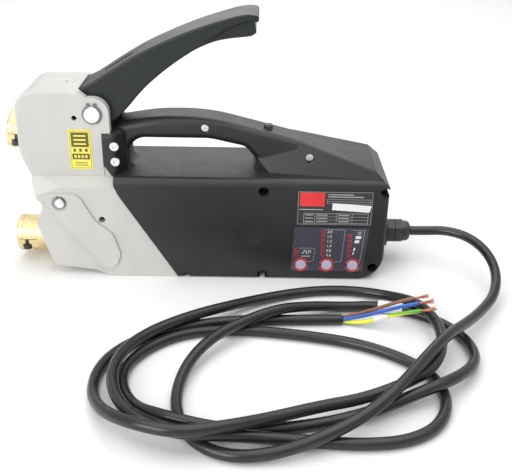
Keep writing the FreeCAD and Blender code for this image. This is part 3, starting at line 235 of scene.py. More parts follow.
def ramp(tree, value, low, high):
    """Maps low..high to 0..1, held at both ends."""
    node = tree.nodes.new("ShaderNodeMapRange")
    tree.links.new(value, node.inputs["Value"])
    node.inputs["From Min"].default_value = low
    node.inputs["From Max"].default_value = high
    return node.outputs["Result"]


def grain_group():
    """Fine moulded or sprayed grain with a slow unevenness under it."""
    tree, ends_in, ends_out = new_group(
        "surface grain",
        [("Vector", "NodeSocketVector", None), ("Grain Scale", "NodeSocketFloat", 1500.0),
         ("Wave Scale", "NodeSocketFloat", 40.0), ("Wave Amount", "NodeSocketFloat", 0.3)],
        [("Height", "NodeSocketFloat"), ("Mask", "NodeSocketFloat")])
    vector = ends_in.outputs["Vector"]
    fine = noise(tree, vector, ends_in.outputs["Grain Scale"], 3.0, 0.6)
    slow = noise(tree, vector, ends_in.outputs["Wave Scale"], 2.0, 0.5)
    height = maths(tree, "ADD", fine, maths(tree, "MULTIPLY", slow, ends_in.outputs["Wave Amount"]))
    tree.links.new(height, ends_out.inputs["Height"])
    tree.links.new(ramp(tree, slow, 0.35, 0.65), ends_out.inputs["Mask"])
    return tree


def handling_group():
    """Soft smudges and a little dust on faces that look up."""
    tree, ends_in, ends_out = new_group(
        "handling marks",
        [("Vector", "NodeSocketVector", None), ("Color", "NodeSocketColor", (0.5, 0.5, 0.5, 1.0)),
         ("Dust Color", "NodeSocketColor", (0.4, 0.38, 0.35, 1.0)), ("Dust", "NodeSocketFloat", 0.1),
         ("Roughness", "NodeSocketFloat", 0.5), ("Smudge", "NodeSocketFloat", 0.08)],
        [("Color", "NodeSocketColor"), ("Roughness", "NodeSocketFloat")])
    vector = ends_in.outputs["Vector"]
    blotch = ramp(tree, noise(tree, vector, 55.0, 4.0, 0.6), 0.42, 0.62)
    geometry = tree.nodes.new("ShaderNodeNewGeometry")
    split = tree.nodes.new("ShaderNodeSeparateXYZ")
    tree.links.new(geometry.outputs["Normal"], split.inputs[0])
    upward = ramp(tree, split.outputs["Z"], 0.2, 1.0)
    speck = ramp(tree, noise(tree, vector, 900.0, 2.0, 0.7), 0.5, 0.75)
    dust = maths(tree, "MULTIPLY", maths(tree, "ADD", upward, speck), ends_in.outputs["Dust"], clamp=True)
    dusted = mixed(tree, dust, ends_in.outputs["Color"], ends_in.outputs["Dust Color"])
    tree.links.new(dusted, ends_out.inputs["Color"])
    change = maths(tree, "MULTIPLY", maths(tree, "SUBTRACT", blotch, 0.5), ends_in.outputs["Smudge"])
    tree.links.new(maths(tree, "ADD", ends_in.outputs["Roughness"], change), ends_out.inputs["Roughness"])
    return tree


def turning_group():
    """Fine tool marks, one after another in the X direction."""
    tree, ends_in, ends_out = new_group(
        "turning marks",
        [("Vector", "NodeSocketVector", None), ("Pitch Scale", "NodeSocketFloat", 4000.0)],
        [("Height", "NodeSocketFloat"), ("Mask", "NodeSocketFloat")])
    split = tree.nodes.new("ShaderNodeSeparateXYZ")
    tree.links.new(ends_in.outputs["Vector"], split.inputs[0])
    lines = maths(tree, "SINE", maths(tree, "MULTIPLY", split.outputs["X"], ends_in.outputs["Pitch Scale"]))
    blur = noise(tree, ends_in.outputs["Vector"], 260.0, 3.0, 0.6)
    height = maths(tree, "ADD", maths(tree, "MULTIPLY", lines, 0.4), blur)
    tree.links.new(height, ends_out.inputs["Height"])
    tree.links.new(ramp(tree, blur, 0.4, 0.6), ends_out.inputs["Mask"])
    return tree


GRAIN = grain_group()
HANDLING = handling_group()
TURNING = turning_group()


# ---- materials --------------------------------------------------------------------------
def new_material(name, metallic=0.0, coat=0.0, specular=0.5):
    material = bpy.data.materials.new(name)
    material.use_nodes = True
    tree = material.node_tree
    shader = tree.nodes["Principled BSDF"]
    shader.inputs["Metallic"].default_value = metallic
    shader.inputs["Coat Weight"].default_value = coat
    shader.inputs["Coat Roughness"].default_value = 0.15
    shader.inputs["Specular IOR Level"].default_value = specular
    place = tree.nodes.new("ShaderNodeTexCoord").outputs["Object"]
    return material, tree, shader, place


def placed(tree, group, **inputs):
    """A group node with its inputs set from sockets, colours or numbers."""
    node = tree.nodes.new("ShaderNodeGroup")
    node.node_tree = group
    for label, value in inputs.items():
        target = node.inputs[label.replace("_", " ")]
        if isinstance(value, bpy.types.NodeSocket):
            tree.links.new(value, target)
        elif isinstance(value, tuple):
            target.default_value = (*value, 1.0)
        else:
            target.default_value = value
    return node


def bump(tree, shader, height, distance, strength=1.0):
    node = tree.nodes.new("ShaderNodeBump")
    node.inputs["Distance"].default_value = distance
    node.inputs["Strength"].default_value = strength
    tree.links.new(height, node.inputs["Height"])
    tree.links.new(node.outputs["Normal"], shader.inputs["Normal"])


def grained(name, color, second, roughness, grain_scale=1500.0, depth=0.00003, dust=0.04, smudge=0.1, **kind):
    """Plastic, paint or rubber with a fine grain, two close colours and handling marks."""
    material, tree, shader, place = new_material(name, **kind)
    grain = placed(tree, GRAIN, Vector=place, Grain_Scale=grain_scale)
    base = mixed(tree, grain.outputs["Mask"], color, second)
    marks = placed(tree, HANDLING, Vector=place, Color=base, Dust=dust, Roughness=roughness, Smudge=smudge)
    tree.links.new(marks.outputs["Color"], shader.inputs["Base Color"])
    tree.links.new(marks.outputs["Roughness"], shader.inputs["Roughness"])
    bump(tree, shader, grain.outputs["Height"], depth)
    return material


def turned_metal(name, color, second, roughness, pitch=4000.0, depth=0.00002):
    """Metal with fine tool marks."""
    material, tree, shader, place = new_material(name, metallic=1.0)
    marks = placed(tree, TURNING, Vector=place, Pitch_Scale=pitch)
    base = mixed(tree, marks.outputs["Mask"], color, second)
    finish = placed(tree, HANDLING, Vector=place, Color=base, Dust=0.02, Roughness=roughness, Smudge=0.12)
    tree.links.new(finish.outputs["Color"], shader.inputs["Base Color"])
    tree.links.new(finish.outputs["Roughness"], shader.inputs["Roughness"])
    bump(tree, shader, marks.outputs["Height"], depth)
    return material


def hatched_film():
    """Dark key panel film with fine diagonal hatching."""
    material, tree, shader, place = new_material("panel film", coat=0.2)
    split = tree.nodes.new("ShaderNodeSeparateXYZ")
    tree.links.new(place, split.inputs[0])
    across = maths(tree, "SUBTRACT", maths(tree, "MULTIPLY", split.outputs["X"], 0.8), split.outputs["Z"])
    wave = maths(tree, "SINE", maths(tree, "MULTIPLY", across, 2100.0))
    lines = ramp(tree, wave, 0.45, 0.80)
    grain = placed(tree, GRAIN, Vector=place, Grain_Scale=2600.0)
    base = mixed(tree, lines, (0.012, 0.012, 0.022), (0.150, 0.150, 0.200))
    marks = placed(tree, HANDLING, Vector=place, Color=base, Dust=0.02, Roughness=0.34, Smudge=0.12)
    tree.links.new(marks.outputs["Color"], shader.inputs["Base Color"])
    tree.links.new(marks.outputs["Roughness"], shader.inputs["Roughness"])
    bump(tree, shader, grain.outputs["Height"], 0.00001)
    return material


def earth_stripes():
    """Green and yellow insulation, striped along the core."""
    material, tree, shader, place = new_material("green and yellow insulation")
    mapped = tree.nodes.new("ShaderNodeUVMap")
    split = tree.nodes.new("ShaderNodeSeparateXYZ")
    tree.links.new(mapped.outputs["UV"], split.inputs[0])
    turn = maths(tree, "ADD", split.outputs["Y"], maths(tree, "MULTIPLY", split.outputs["X"], 0.08))
    wave = maths(tree, "SINE", maths(tree, "MULTIPLY", turn, 2 * math.pi))
    grain = placed(tree, GRAIN, Vector=place, Grain_Scale=2500.0)
    base = mixed(tree, ramp(tree, wave, -0.05, 0.05), (0.10, 0.42, 0.03), (0.80, 0.78, 0.02))
    tree.links.new(base, shader.inputs["Base Color"])
    finish = placed(tree, HANDLING, Vector=place, Color=base, Dust=0.0, Roughness=0.38, Smudge=0.1)
    tree.links.new(finish.outputs["Roughness"], shader.inputs["Roughness"])
    bump(tree, shader, grain.outputs["Height"], 0.00001)
    return material


def laminated_steel():
    """Edges of stacked core sheets."""
    material, tree, shader, place = new_material("core sheets", metallic=0.8)
    split = tree.nodes.new("ShaderNodeSeparateXYZ")
    tree.links.new(place, split.inputs[0])
    lines = maths(tree, "SINE", maths(tree, "MULTIPLY", split.outputs["Y"], 9000.0))
    base = mixed(tree, ramp(tree, lines, -0.6, 0.6), (0.10, 0.10, 0.11), (0.28, 0.28, 0.30))
    tree.links.new(base, shader.inputs["Base Color"])
    finish = placed(tree, HANDLING, Vector=place, Color=base, Dust=0.0, Roughness=0.5, Smudge=0.15)
    tree.links.new(finish.outputs["Roughness"], shader.inputs["Roughness"])
    bump(tree, shader, lines, 0.00005)
    return material


def woven_wrap():
    """Cotton tape wound over the primary coil."""
    material, tree, shader, place = new_material("coil tape")
    split = tree.nodes.new("ShaderNodeSeparateXYZ")
    tree.links.new(place, split.inputs[0])
    warp = maths(tree, "SINE", maths(tree, "MULTIPLY", split.outputs["Z"], 5200.0))
    round_coil = maths(tree, "ADD", split.outputs["X"], split.outputs["Y"])
    weft = maths(tree, "SINE", maths(tree, "MULTIPLY", round_coil, 5200.0))
    weave = maths(tree, "MULTIPLY", warp, weft)
    base = mixed(tree, ramp(tree, weave, -0.5, 0.5), (0.52, 0.40, 0.20), (0.72, 0.60, 0.36))
    tree.links.new(base, shader.inputs["Base Color"])
    finish = placed(tree, HANDLING, Vector=place, Color=base, Dust=0.0, Roughness=0.8, Smudge=0.1)
    tree.links.new(finish.outputs["Roughness"], shader.inputs["Roughness"])
    bump(tree, shader, weave, 0.0001)
    return material


body_plastic = grained("body plastic", (0.0105, 0.0125, 0.0128), (0.0130, 0.0152, 0.0155),
                       roughness=0.40, grain_scale=1300.0, depth=0.00006, dust=0.02, smudge=0.05)
lever_plastic = grained("lever coating", (0.0080, 0.0110, 0.0112), (0.0100, 0.0135, 0.0137),
                        roughness=0.36, grain_scale=1700.0, depth=0.00004, dust=0.02,
                        smudge=0.05, specular=0.40)
gland_plastic = grained("gland plastic", (0.0180, 0.0185, 0.0195), (0.0220, 0.0225, 0.0235),
                        roughness=0.32, grain_scale=2200.0, depth=0.00003)
head_paint = grained("head paint", (0.515, 0.508, 0.485), (0.545, 0.538, 0.514),
                     roughness=0.45, grain_scale=1100.0, depth=0.00005, dust=0.02)
cable_rubber = grained("cable rubber", (0.0100, 0.0107, 0.0113), (0.0135, 0.0143, 0.0150),
                       roughness=0.27, grain_scale=900.0, depth=0.00004, dust=0.02)
seal_rubber = grained("seal rubber", (0.014, 0.014, 0.014), (0.020, 0.020, 0.020),
                      roughness=0.7, grain_scale=1500.0, depth=0.00004)
brass = turned_metal("machined brass", (0.82, 0.70, 0.41), (0.76, 0.63, 0.34), roughness=0.40)
jaw_brass = turned_metal("jaw brass", (0.62, 0.50, 0.26), (0.54, 0.42, 0.21), roughness=0.45)
zinc = turned_metal("bright zinc", (0.80, 0.81, 0.82), (0.70, 0.71, 0.73), roughness=0.30)
ring_steel = turned_metal("ring steel", (0.16, 0.16, 0.165), (0.22, 0.22, 0.225), roughness=0.36)
black_steel = turned_metal("blackened steel", (0.06, 0.06, 0.06), (0.10, 0.10, 0.10), roughness=0.42)
spring_steel = turned_metal("spring steel", (0.34, 0.34, 0.35), (0.24, 0.24, 0.25), roughness=0.32)
copper = turned_metal("bare copper", (0.78, 0.36, 0.22), (0.66, 0.27, 0.15), roughness=0.32)
sink_metal = turned_metal("extruded aluminium", (0.70, 0.71, 0.73), (0.60, 0.61, 0.63), roughness=0.36)
board_lacquer = grained("board lacquer", (0.02, 0.16, 0.06), (0.03, 0.22, 0.09),
                        roughness=0.3, grain_scale=700.0)
housing_plastic = grained("component plastic", (0.03, 0.03, 0.035), (0.05, 0.05, 0.055), roughness=0.35)
key_plastic = grained("key top", (0.50, 0.44, 0.58), (0.56, 0.50, 0.64),
                      roughness=0.34, grain_scale=2600.0, depth=0.00001, dust=0.0)
lamp_plastic = grained("lamp lens", (0.30, 0.05, 0.05), (0.22, 0.03, 0.03),
                       roughness=0.25, grain_scale=2600.0, depth=0.00001, dust=0.0)
label_yellow = grained("yellow foil", (0.78, 0.71, 0.10), (0.84, 0.77, 0.13),
                       roughness=0.36, grain_scale=2600.0, depth=0.00001, dust=0.0)
plate_film = grained("plate film", (0.030, 0.030, 0.034), (0.036, 0.036, 0.040),
                     roughness=0.36, grain_scale=2600.0, depth=0.00001, dust=0.02)
print_white = grained("white print", (0.80, 0.80, 0.80), (0.86, 0.86, 0.86),
                      roughness=0.45, grain_scale=2600.0, depth=0.00001, dust=0.0)
print_grey = grained("grey print", (0.42, 0.42, 0.43), (0.48, 0.48, 0.49),
                     roughness=0.45, grain_scale=2600.0, depth=0.00001, dust=0.0)
print_red = grained("red print", (0.72, 0.03, 0.03), (0.80, 0.04, 0.04),
                    roughness=0.38, grain_scale=2600.0, depth=0.00001, dust=0.0)
print_dark = grained("dark print", (0.10, 0.085, 0.02), (0.13, 0.11, 0.03),
                     roughness=0.45, grain_scale=2600.0, depth=0.00001, dust=0.0)
tag_paper = grained("tag paper", (0.80, 0.81, 0.82), (0.86, 0.87, 0.88),
                    roughness=0.7, grain_scale=700.0, depth=0.00005, dust=0.0)
brown_core = grained("brown insulation", (0.20, 0.085, 0.045), (0.26, 0.12, 0.07),
                     roughness=0.4, grain_scale=2000.0, depth=0.00001, dust=0.0)
blue_core = grained("blue insulation", (0.025, 0.10, 0.48), (0.03, 0.13, 0.56),
                    roughness=0.36, grain_scale=2000.0, depth=0.00001, dust=0.0)
panel_film = hatched_film()
earth_core = earth_stripes()
core_sheets = laminated_steel()
coil_tape = woven_wrap()

finishes = {
    body_plastic: ["left_body_shell", "right_body_shell"],
    head_paint: ["head_hood", "head_base"],
    lever_plastic: ["squeeze_lever"],
    brass: ["upper_holder", "lower_holder"],
    jaw_brass: ["upper_jaw", "lower_jaw"],
    zinc: ["lever_pin", "fulcrum_pin", "jaw_pin", "crank_pin", "drive_link", "force_adjuster",
           "handle_screws", "ear_screws", "core_clamps", "jaw_bolt"],
    ring_steel: ["lever_circlips", "fulcrum_circlips"],
    black_steel: ["upper_clamp_screw", "lower_clamp_screw", "drive_crank", "shell_screws"],
    copper: ["secondary_turn", "secondary_bar"],
    core_sheets: ["transformer_core"],
    coil_tape: ["primary_coil"],
    board_lacquer: ["control_board"],
    housing_plastic: ["board_parts", "power_module", "start_switch", "start_plunger"],
    sink_metal: ["heat_sink"],
    panel_film: ["panel_overlay"],
    plate_film: ["rating_plate"],
    label_yellow: ["head_label"],
    lamp_plastic: ["indicator_lamps"],
    key_plastic: ["left_button", "middle_button", "right_button"],
    gland_plastic: ["gland_body", "gland_nut", "gland_locknut"],
    seal_rubber: ["gland_seal", "core_pads"],
    tag_paper: ["cord_tag"],
}
for finish, names in finishes.items():
    for name in names:
        NODES[name].data.materials.clear()
        NODES[name].data.materials.append(finish)


# ---- mesh helpers -----------------------------------------------------------------------
def mesh_piece(name, points, faces, material, body, smooth=False):
    """A mesh of one material that rides on a body, or on none."""
    mesh = bpy.data.meshes.new(name)
    mesh.from_pydata([tuple(p) for p in points], [], faces)
    mesh.materials.append(material)
    for face in mesh.polygons:
        face.use_smooth = smooth
    mesh.update()
    piece = bpy.data.objects.new(name, mesh)
    SCENE.collection.objects.link(piece)
    if body:
        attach(piece, body)
    return piece


def tube_mesh(line, radius, sides, first=0):
    """Points and faces of a round tube along a line, closed at both ends."""
    points = []
    faces = []
    side = None
    for i, place in enumerate(line):
        ahead = line[min(i + 1, len(line) - 1)]
        behind = line[max(i - 1, 0)]
        along = (ahead - behind).normalized()
        if side is None:
            side = along.cross(Vector((0.0, 0.0, 1.0)))
            if side.length < 0.1:
                side = along.cross(Vector((0.0, 1.0, 0.0)))
        side = (side - along * side.dot(along)).normalized()
        up = side.cross(along)
        size = radius(i / (len(line) - 1)) if callable(radius) else radius
        for k in range(sides):
            angle = 2 * math.pi * k / sides
            points.append(place + side * size * math.cos(angle) + up * size * math.sin(angle))
    for i in range(len(line) - 1):
        low = first + i * sides
        for k in range(sides):
            after = (k + 1) % sides
            faces.append((low + k, low + after, low + sides + after, low + sides + k))
    faces.append(tuple(first + k for k in reversed(range(sides))))
    last = first + (len(line) - 1) * sides
    faces.append(tuple(last + k for k in range(sides)))
    return points, faces


def tube_piece(name, line, radius, material, body, sides=16):
    """A round tube with a UV map: u counts centimetres along it and v goes once round."""
    points, faces = tube_mesh(line, radius, sides)
    piece = mesh_piece(name, points, faces, material, body, smooth=True)
    reach = [0.0]
    for a, b in zip(line, line[1:]):
        reach.append(reach[-1] + (b - a).length * 100)
    uv = piece.data.uv_layers.new(name="UVMap")
    for face in piece.data.polygons:
        ring = [piece.data.loops[k].vertex_index % sides for k in face.loop_indices]
        wraps = len(ring) == 4 and max(ring) == sides - 1 and min(ring) == 0
        for k, place in zip(face.loop_indices, ring):
            v = 1.0 if wraps and place == 0 else place / sides
            uv.data[k].uv = (reach[piece.data.loops[k].vertex_index // sides], v)
    return piece


def coil_line(centre, axis, radius, low, high, turns, steps=28):
    """A coil spring's line round an axis, "Y" or "Z", closed up at both ends."""
    line = []
    count = int(turns * steps)
    for i in range(count + 1):
        share = i / count
        eased = share * share * (3 - 2 * share) * 0.35 + share * 0.65
        reach = low + (high - low) * eased
        angle = 2 * math.pi * turns * share
        a = radius * math.cos(angle)
        b = radius * math.sin(angle)
        line.append(centre + (Vector((a, reach, b)) if axis == "Y" else Vector((a, b, reach))))
    return line


# ---- cable, cores and bare ends ---------------------------------------------------------
# Bare strands: a spiral of places in the bundle, opening a little towards the tips.
STRAND_TURN = 2.4
STRAND_TWIST = 1.5
STRAND_STEPS = 7


def strand_bundle(name, start, direction, length, count):
    """Fine bare strands with a light twist that open a little towards their tips."""
    across = direction.cross(Vector((0.0, 0.0, 1.0))).normalized()
    up = across.cross(direction)
    points = []
    faces = []
    for k in range(count):
        ring = BUNDLE_RADIUS * math.sqrt((k + 0.5) / count)
        angle = k * STRAND_TURN
        flare = draw.uniform(0.8, 3.4)
        reach = length * draw.uniform(0.86, 1.0)
        line = []
        for i in range(STRAND_STEPS + 1):
            share = i / STRAND_STEPS
            turn = angle + share * STRAND_TWIST
            spread = ring * (1 + flare * share * share)
            outward = across * math.cos(turn) + up * math.sin(turn)
            line.append(start + direction * (reach * share) + outward * spread)
        more, sides = tube_mesh(line, STRAND_RADIUS, 6, len(points))
        points += more
        faces += sides
    return mesh_piece(name, points, faces, copper, "housing", smooth=True)


def wire_cable():
    supply_cable.data.materials.append(cable_rubber)
    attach(supply_cable, "housing")
    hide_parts("power_cord")
    insulation = {"brown": brown_core, "blue": blue_core, "earth": earth_core}
    pieces = [NODES["cord_tag"]]
    for colour, offsets in core_routes.items():
        line = line_of([SHEATH_END + Vector(offset) for offset in offsets], 12)
        core = tube_piece(colour + "_insulation", line, CORE_DIAMETER / 2, insulation[colour], "housing")
        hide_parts(colour + "_core")
        direction = (line[-1] - line[-2]).normalized()
        root = line[-1] - direction * 0.001
        bare = strand_bundle(colour + "_strands", root, direction, BARE_LENGTH, STRANDS_PER_CORE)
        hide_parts("copper_ends")
        pieces += [core, bare]
        if colour == "earth":
            sleeve_line = line[len(line) * 38 // 100:len(line) * 62 // 100]
            sleeve_radius = CORE_DIAMETER / 2 + SLEEVE_WALL
            sleeve = tube_piece("earth_sleeve", sleeve_line, sleeve_radius, tag_paper, "housing")
            pieces.append(sleeve)


wire_cable()


# ---- springs and shunt ------------------------------------------------------------------
# The end is how far the wire's line stays inside the spring's length.
Wire = namedtuple("Wire", "radius end")


def coil_spring(name, node, axis, radius, wire, turns, body, sides=10):
    """A coil of round wire in the place of a plain spring solid. Gives the coil and its foot's centre."""
    low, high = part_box(node)
    middle = (low + high) / 2
    if axis == "Y":
        centre = Vector((middle.x, 0.0, middle.z))
        start, finish = low.y + wire.end, high.y - wire.end
    else:
        centre = Vector((middle.x, middle.y, 0.0))
        start, finish = low.z + wire.end, high.z - wire.end
    line = coil_line(centre, axis, radius, start, finish, turns)
    spring = tube_piece(name, line, wire.radius, spring_steel, body, sides)
    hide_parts(node)
    return spring, (middle.x, middle.y, low.z)


def make_springs():
    coil_spring("lever_return_spring", "return_spring", "Y", 0.0100, Wire(0.0012, 0.0013), 3.25, "lever")
    coil_spring("electrode_force_spring", "force_spring", "Z", 0.00405, Wire(0.0009, 0.0010), 3.0, "lever")
    fine = Wire(0.0004, 0.0005)
    spring, foot = coil_spring("plunger_return_spring", "plunger_spring", "Z", 0.0056, fine, 3.5,
                               "housing", sides=8)
    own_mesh(spring)


LEAVES = 7
LEAF_THICKNESS = 0.00050
LEAF_PITCH = 0.00056
LEAF_HALF_WIDTH = 0.0098
LEAF_TAIL = 0.006       # flat stretch in front of the core
LEAF_ARM = 0.007        # width of the stretch beside the core
LEAF_REACH = 0.010      # half the width of the flat stretch


def shunt_front():
    """x of the flat stretch's front edge."""
    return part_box("transformer_core")[0].x - 0.010


def leaf(points, faces, line, normals, half_width, thickness):
    """One thin copper leaf along a side view line, added to the lists."""
    first = len(points)
    for place, normal in zip(line, normals):
        for y in (-half_width, half_width):
            for lift in (0.0, thickness):
                points.append(Vector((place[0] + normal[0] * lift, y, place[1] + normal[1] * lift)))
    for i in range(len(line) - 1):
        a = first + 4 * i
        b = a + 4
        faces.extend([(a, a + 2, b + 2, b), (a + 1, b + 1, b + 3, a + 3)])
        faces.extend([(a, b, b + 1, a + 1), (a + 2, a + 3, b + 3, b + 2)])
    last = first + 4 * (len(line) - 1)
    faces.extend([(first, first + 1, first + 3, first + 2), (last, last + 2, last + 3, last + 1)])


def make_shunt_root():
    """Flat leaves that lie on the secondary turn and reach in front of the core."""
    low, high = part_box("shunt_strap")
    front = shunt_front()
    bend = front + LEAF_TAIL
    arm = low.y + LEAF_ARM
    plan = [(front, low.y), (high.x, low.y), (high.x, arm), (bend, arm), (bend, LEAF_REACH),
            (front, LEAF_REACH)]
    count = len(plan)
    points = []
    faces = []
    for k in range(LEAVES):
        base = low.z + k * LEAF_PITCH
        top = base + LEAF_THICKNESS
        first = len(points)
        points += [Vector((x, y, z)) for z in (base, top) for x, y in plan]
        faces.append(tuple(first + i for i in reversed(range(count))))
        faces.append(tuple(first + count + i for i in range(count)))
        for i in range(count):
            after = (i + 1) % count
            faces.append((first + i, first + after, first + count + after, first + count + i))
    root = mesh_piece("shunt_root", points, faces, copper, "housing")
    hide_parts("shunt_strap")


def bend_point(knots, t):
    """Place and upward normal on a cubic bend through side view knots, t from 0 to 1."""
    weights = ((1 - t) ** 3, 3 * t * (1 - t) ** 2, 3 * t * t * (1 - t), t ** 3)
    slopes = (-3 * (1 - t) ** 2, 3 * (1 - t) * (1 - 3 * t), 3 * t * (2 - 3 * t), 3 * t * t)
    place = Vector([sum(w * knot[j] for w, knot in zip(weights, knots)) for j in (0, 1)])
    along = Vector([sum(w * knot[j] for w, knot in zip(slopes, knots)) for j in (0, 1)]).normalized()
    normal = Vector((along.y, -along.x))
    return place, (normal if normal.y >= 0 else -normal)


def make_shunt_leaves():
    """Leaves that rise from the secondary turn to the rocking jaw on a cubic bend."""
    turn_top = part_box("shunt_strap")[0].z
    knots = [(shunt_front() + LEAF_TAIL / 2, turn_top), (-0.094, turn_top + 0.004), (-0.1145, 0.1020),
             (-0.1335, 0.1125)]
    steps = 24
    points = []
    faces = []
    for k in range(LEAVES):
        bend = [bend_point(knots, i / steps) for i in range(steps + 1)]
        normals = [normal for place, normal in bend]
        line = [place + normal * k * LEAF_PITCH for place, normal in bend]
        leaf(points, faces, line, normals, LEAF_HALF_WIDTH, LEAF_THICKNESS)
    rise = mesh_piece("shunt_leaves", points, faces, copper, None)
    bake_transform(rise)


make_springs()
make_shunt_root()
make_shunt_leaves()


# ---- printed marks on the key panel, the plate and the head ----------------------------
def counterclockwise(corners):
    area = sum(a[0] * b[1] - b[0] * a[1] for a, b in zip(corners, corners[1:] + corners[:1]))
    return corners if area > 0 else corners[::-1]


def printed(name, shapes, face_y, material, thickness=0.06):
    """Flat shapes given as (x, z) corners in millimetres, printed on a face that looks to -Y."""
    points = []
    faces = []
    for shape in shapes:
        corners = counterclockwise(list(shape))
        first = len(points)
        count = len(corners)
        points += [Vector((x * MM, face_y - thickness * MM, z * MM)) for x, z in corners]
        points += [Vector((x * MM, face_y, z * MM)) for x, z in corners]
        faces.append(tuple(first + k for k in range(count)))
        faces.append(tuple(first + count + k for k in reversed(range(count))))
        for k in range(count):
            after = (k + 1) % count
            faces.append((first + after, first + k, first + count + k, first + count + after))
    piece = mesh_piece(name, points, faces, material, "housing")
    return piece


def line_shapes(corners, width):
    """Straight strokes along a line of corners."""
    shapes = []
    for (x0, z0), (x1, z1) in zip(corners, corners[1:]):
        length = math.hypot(x1 - x0, z1 - z0)
        ax, az = (x1 - x0) / length * width / 2, (z1 - z0) / length * width / 2
        shapes.append([(x0 - ax - az, z0 - az + ax), (x0 - ax + az, z0 - az - ax),
                       (x1 + ax + az, z1 + az - ax), (x1 + ax - az, z1 + az + ax)])
    return shapes


def ring_shapes(x, z, inner, outer, start, finish, step=12):
    """A stretch of a flat ring, from one angle to the other in degrees."""
    count = max(1, round((finish - start) / step))
    shapes = []
    for i in range(count):
        a = math.radians(start + (finish - start) * i / count)
        b = math.radians(start + (finish - start) * (i + 1) / count)
        corners = ((inner, a), (outer, a), (outer, b), (inner, b))
        shapes.append([(x + size * math.cos(turn), z + size * math.sin(turn)) for size, turn in corners])
    return shapes


def frame_shapes(x0, x1, z0, z1, width):
    """Four strokes round a rectangle."""
    return line_shapes([(x0, z0), (x1, z0), (x1, z1), (x0, z1), (x0, z0)], width)


def bar(x0, x1, z0, z1, lean=0.0):
    """A filled upright block, its top moved sideways by lean."""
    return [(x0, z0), (x1, z0), (x1 + lean, z1), (x0 + lean, z1)]


def print_numbers(name, lines, size, face_y, material):
    """Plain numbers, each at its own (x, z) place in millimetres."""
    points = []
    faces = []
    for words, x, z in lines:
        text = bpy.data.curves.new("number", "FONT")
        text.body = words
        text.size = size * MM
        text.extrude = 0.03 * MM
        text.resolution_u = 3
        holder = bpy.data.objects.new("number", text)
        SCENE.collection.objects.link(holder)
        bpy.context.view_layer.update()
        mesh = bpy.data.meshes.new_from_object(holder)
        first = len(points)
        place = Matrix.Translation((x * MM, face_y - 0.03 * MM, z * MM))
        stand = place @ Matrix.Rotation(math.pi / 2, 4, "X")
        points += [stand @ vertex.co for vertex in mesh.vertices]
        faces += [tuple(first + k for k in face.vertices) for face in mesh.polygons]
        bpy.data.objects.remove(holder)
        bpy.data.meshes.remove(mesh)
        bpy.data.curves.remove(text)
    piece = mesh_piece(name, points, faces, material, "housing")


def middle_of(name):
    """Middle of a node's box in millimetres."""
    low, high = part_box(name)
    return (low + high) / 2 / MM


KEY_XS = [middle_of(name).x for name in ("left_button", "middle_button", "right_button")]
KEY_Z = middle_of("left_button").z
LAMP_Z = 29.0
LAMP_COLUMNS = ((85.0, 5.0, 2), (112.0, 5.4, 6), (139.5, 5.6, 5))      # x, pitch and count of each column


def print_panel():
    """Rings round the keys and lamps, frames that lead to the keys, bars and plain numbers."""
    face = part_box("panel_overlay")[0].y
    rings = []
    for x in KEY_XS:
        for start in (14, 194):
            rings += ring_shapes(x, KEY_Z, 6.5, 7.9, start, start + 152)
    for x, pitch, count in LAMP_COLUMNS:
        for z in (LAMP_Z + pitch * i for i in range(count)):
            rings += ring_shapes(x, z, 1.5, 1.85, 0, 360, 30)
            for turn in (45, 135, 225, 315):
                a = math.radians(turn)
                rings += line_shapes([(x + 1.9 * math.cos(a), z + 1.9 * math.sin(a)),
                                      (x + 2.6 * math.cos(a), z + 2.6 * math.sin(a))], 0.32)
    printed("panel_red_rings", rings, face, print_red)
    frames = line_shapes([(87.5, 36.8), (104.0, 36.8), (103.0, 22.0), (98.0, 21.2)], 0.35)
    frames += line_shapes([(114.5, 58.6), (134.0, 58.6), (132.0, 22.4), (125.5, 21.2)], 0.35)
    frames += line_shapes([(142.0, 58.0), (154.0, 58.0), (151.5, 24.0), (150.5, 22.0)], 0.35)
    printed("panel_frames", frames, face, print_grey)
    marks = line_shapes([(90.5, 31.0), (92.5, 31.0), (93.0, 34.2), (95.0, 34.2), (95.2, 31.0), (97.2, 31.0),
                         (97.6, 34.2), (99.6, 34.2), (99.6, 31.0)], 0.55)
    marks.append(bar(90.3, 99.3, 27.2, 27.8))
    marks.append(bar(144.8, 150.4, 48.4, 51.8, 0.7))
    marks.append(bar(144.2, 148.8, 43.6, 46.8, 0.5))
    marks.append(bar(143.4, 145.2, 34.6, 38.0, 0.7))
    marks.append(bar(142.9, 144.0, 29.8, 33.2, 0.6))
    marks += ring_shapes(149.0, 55.0, 1.2, 1.6, 0, 360, 30)
    printed("panel_bars", marks, face, print_white)
    words = ("0.6", "0.8", "1.0", "1.2", "1.5", "2.0")
    numbers = [(word, 115.8, 27.6 + 5.4 * i) for i, word in enumerate(words)]
    print_numbers("panel_numbers", numbers, 4.2, face, print_white)


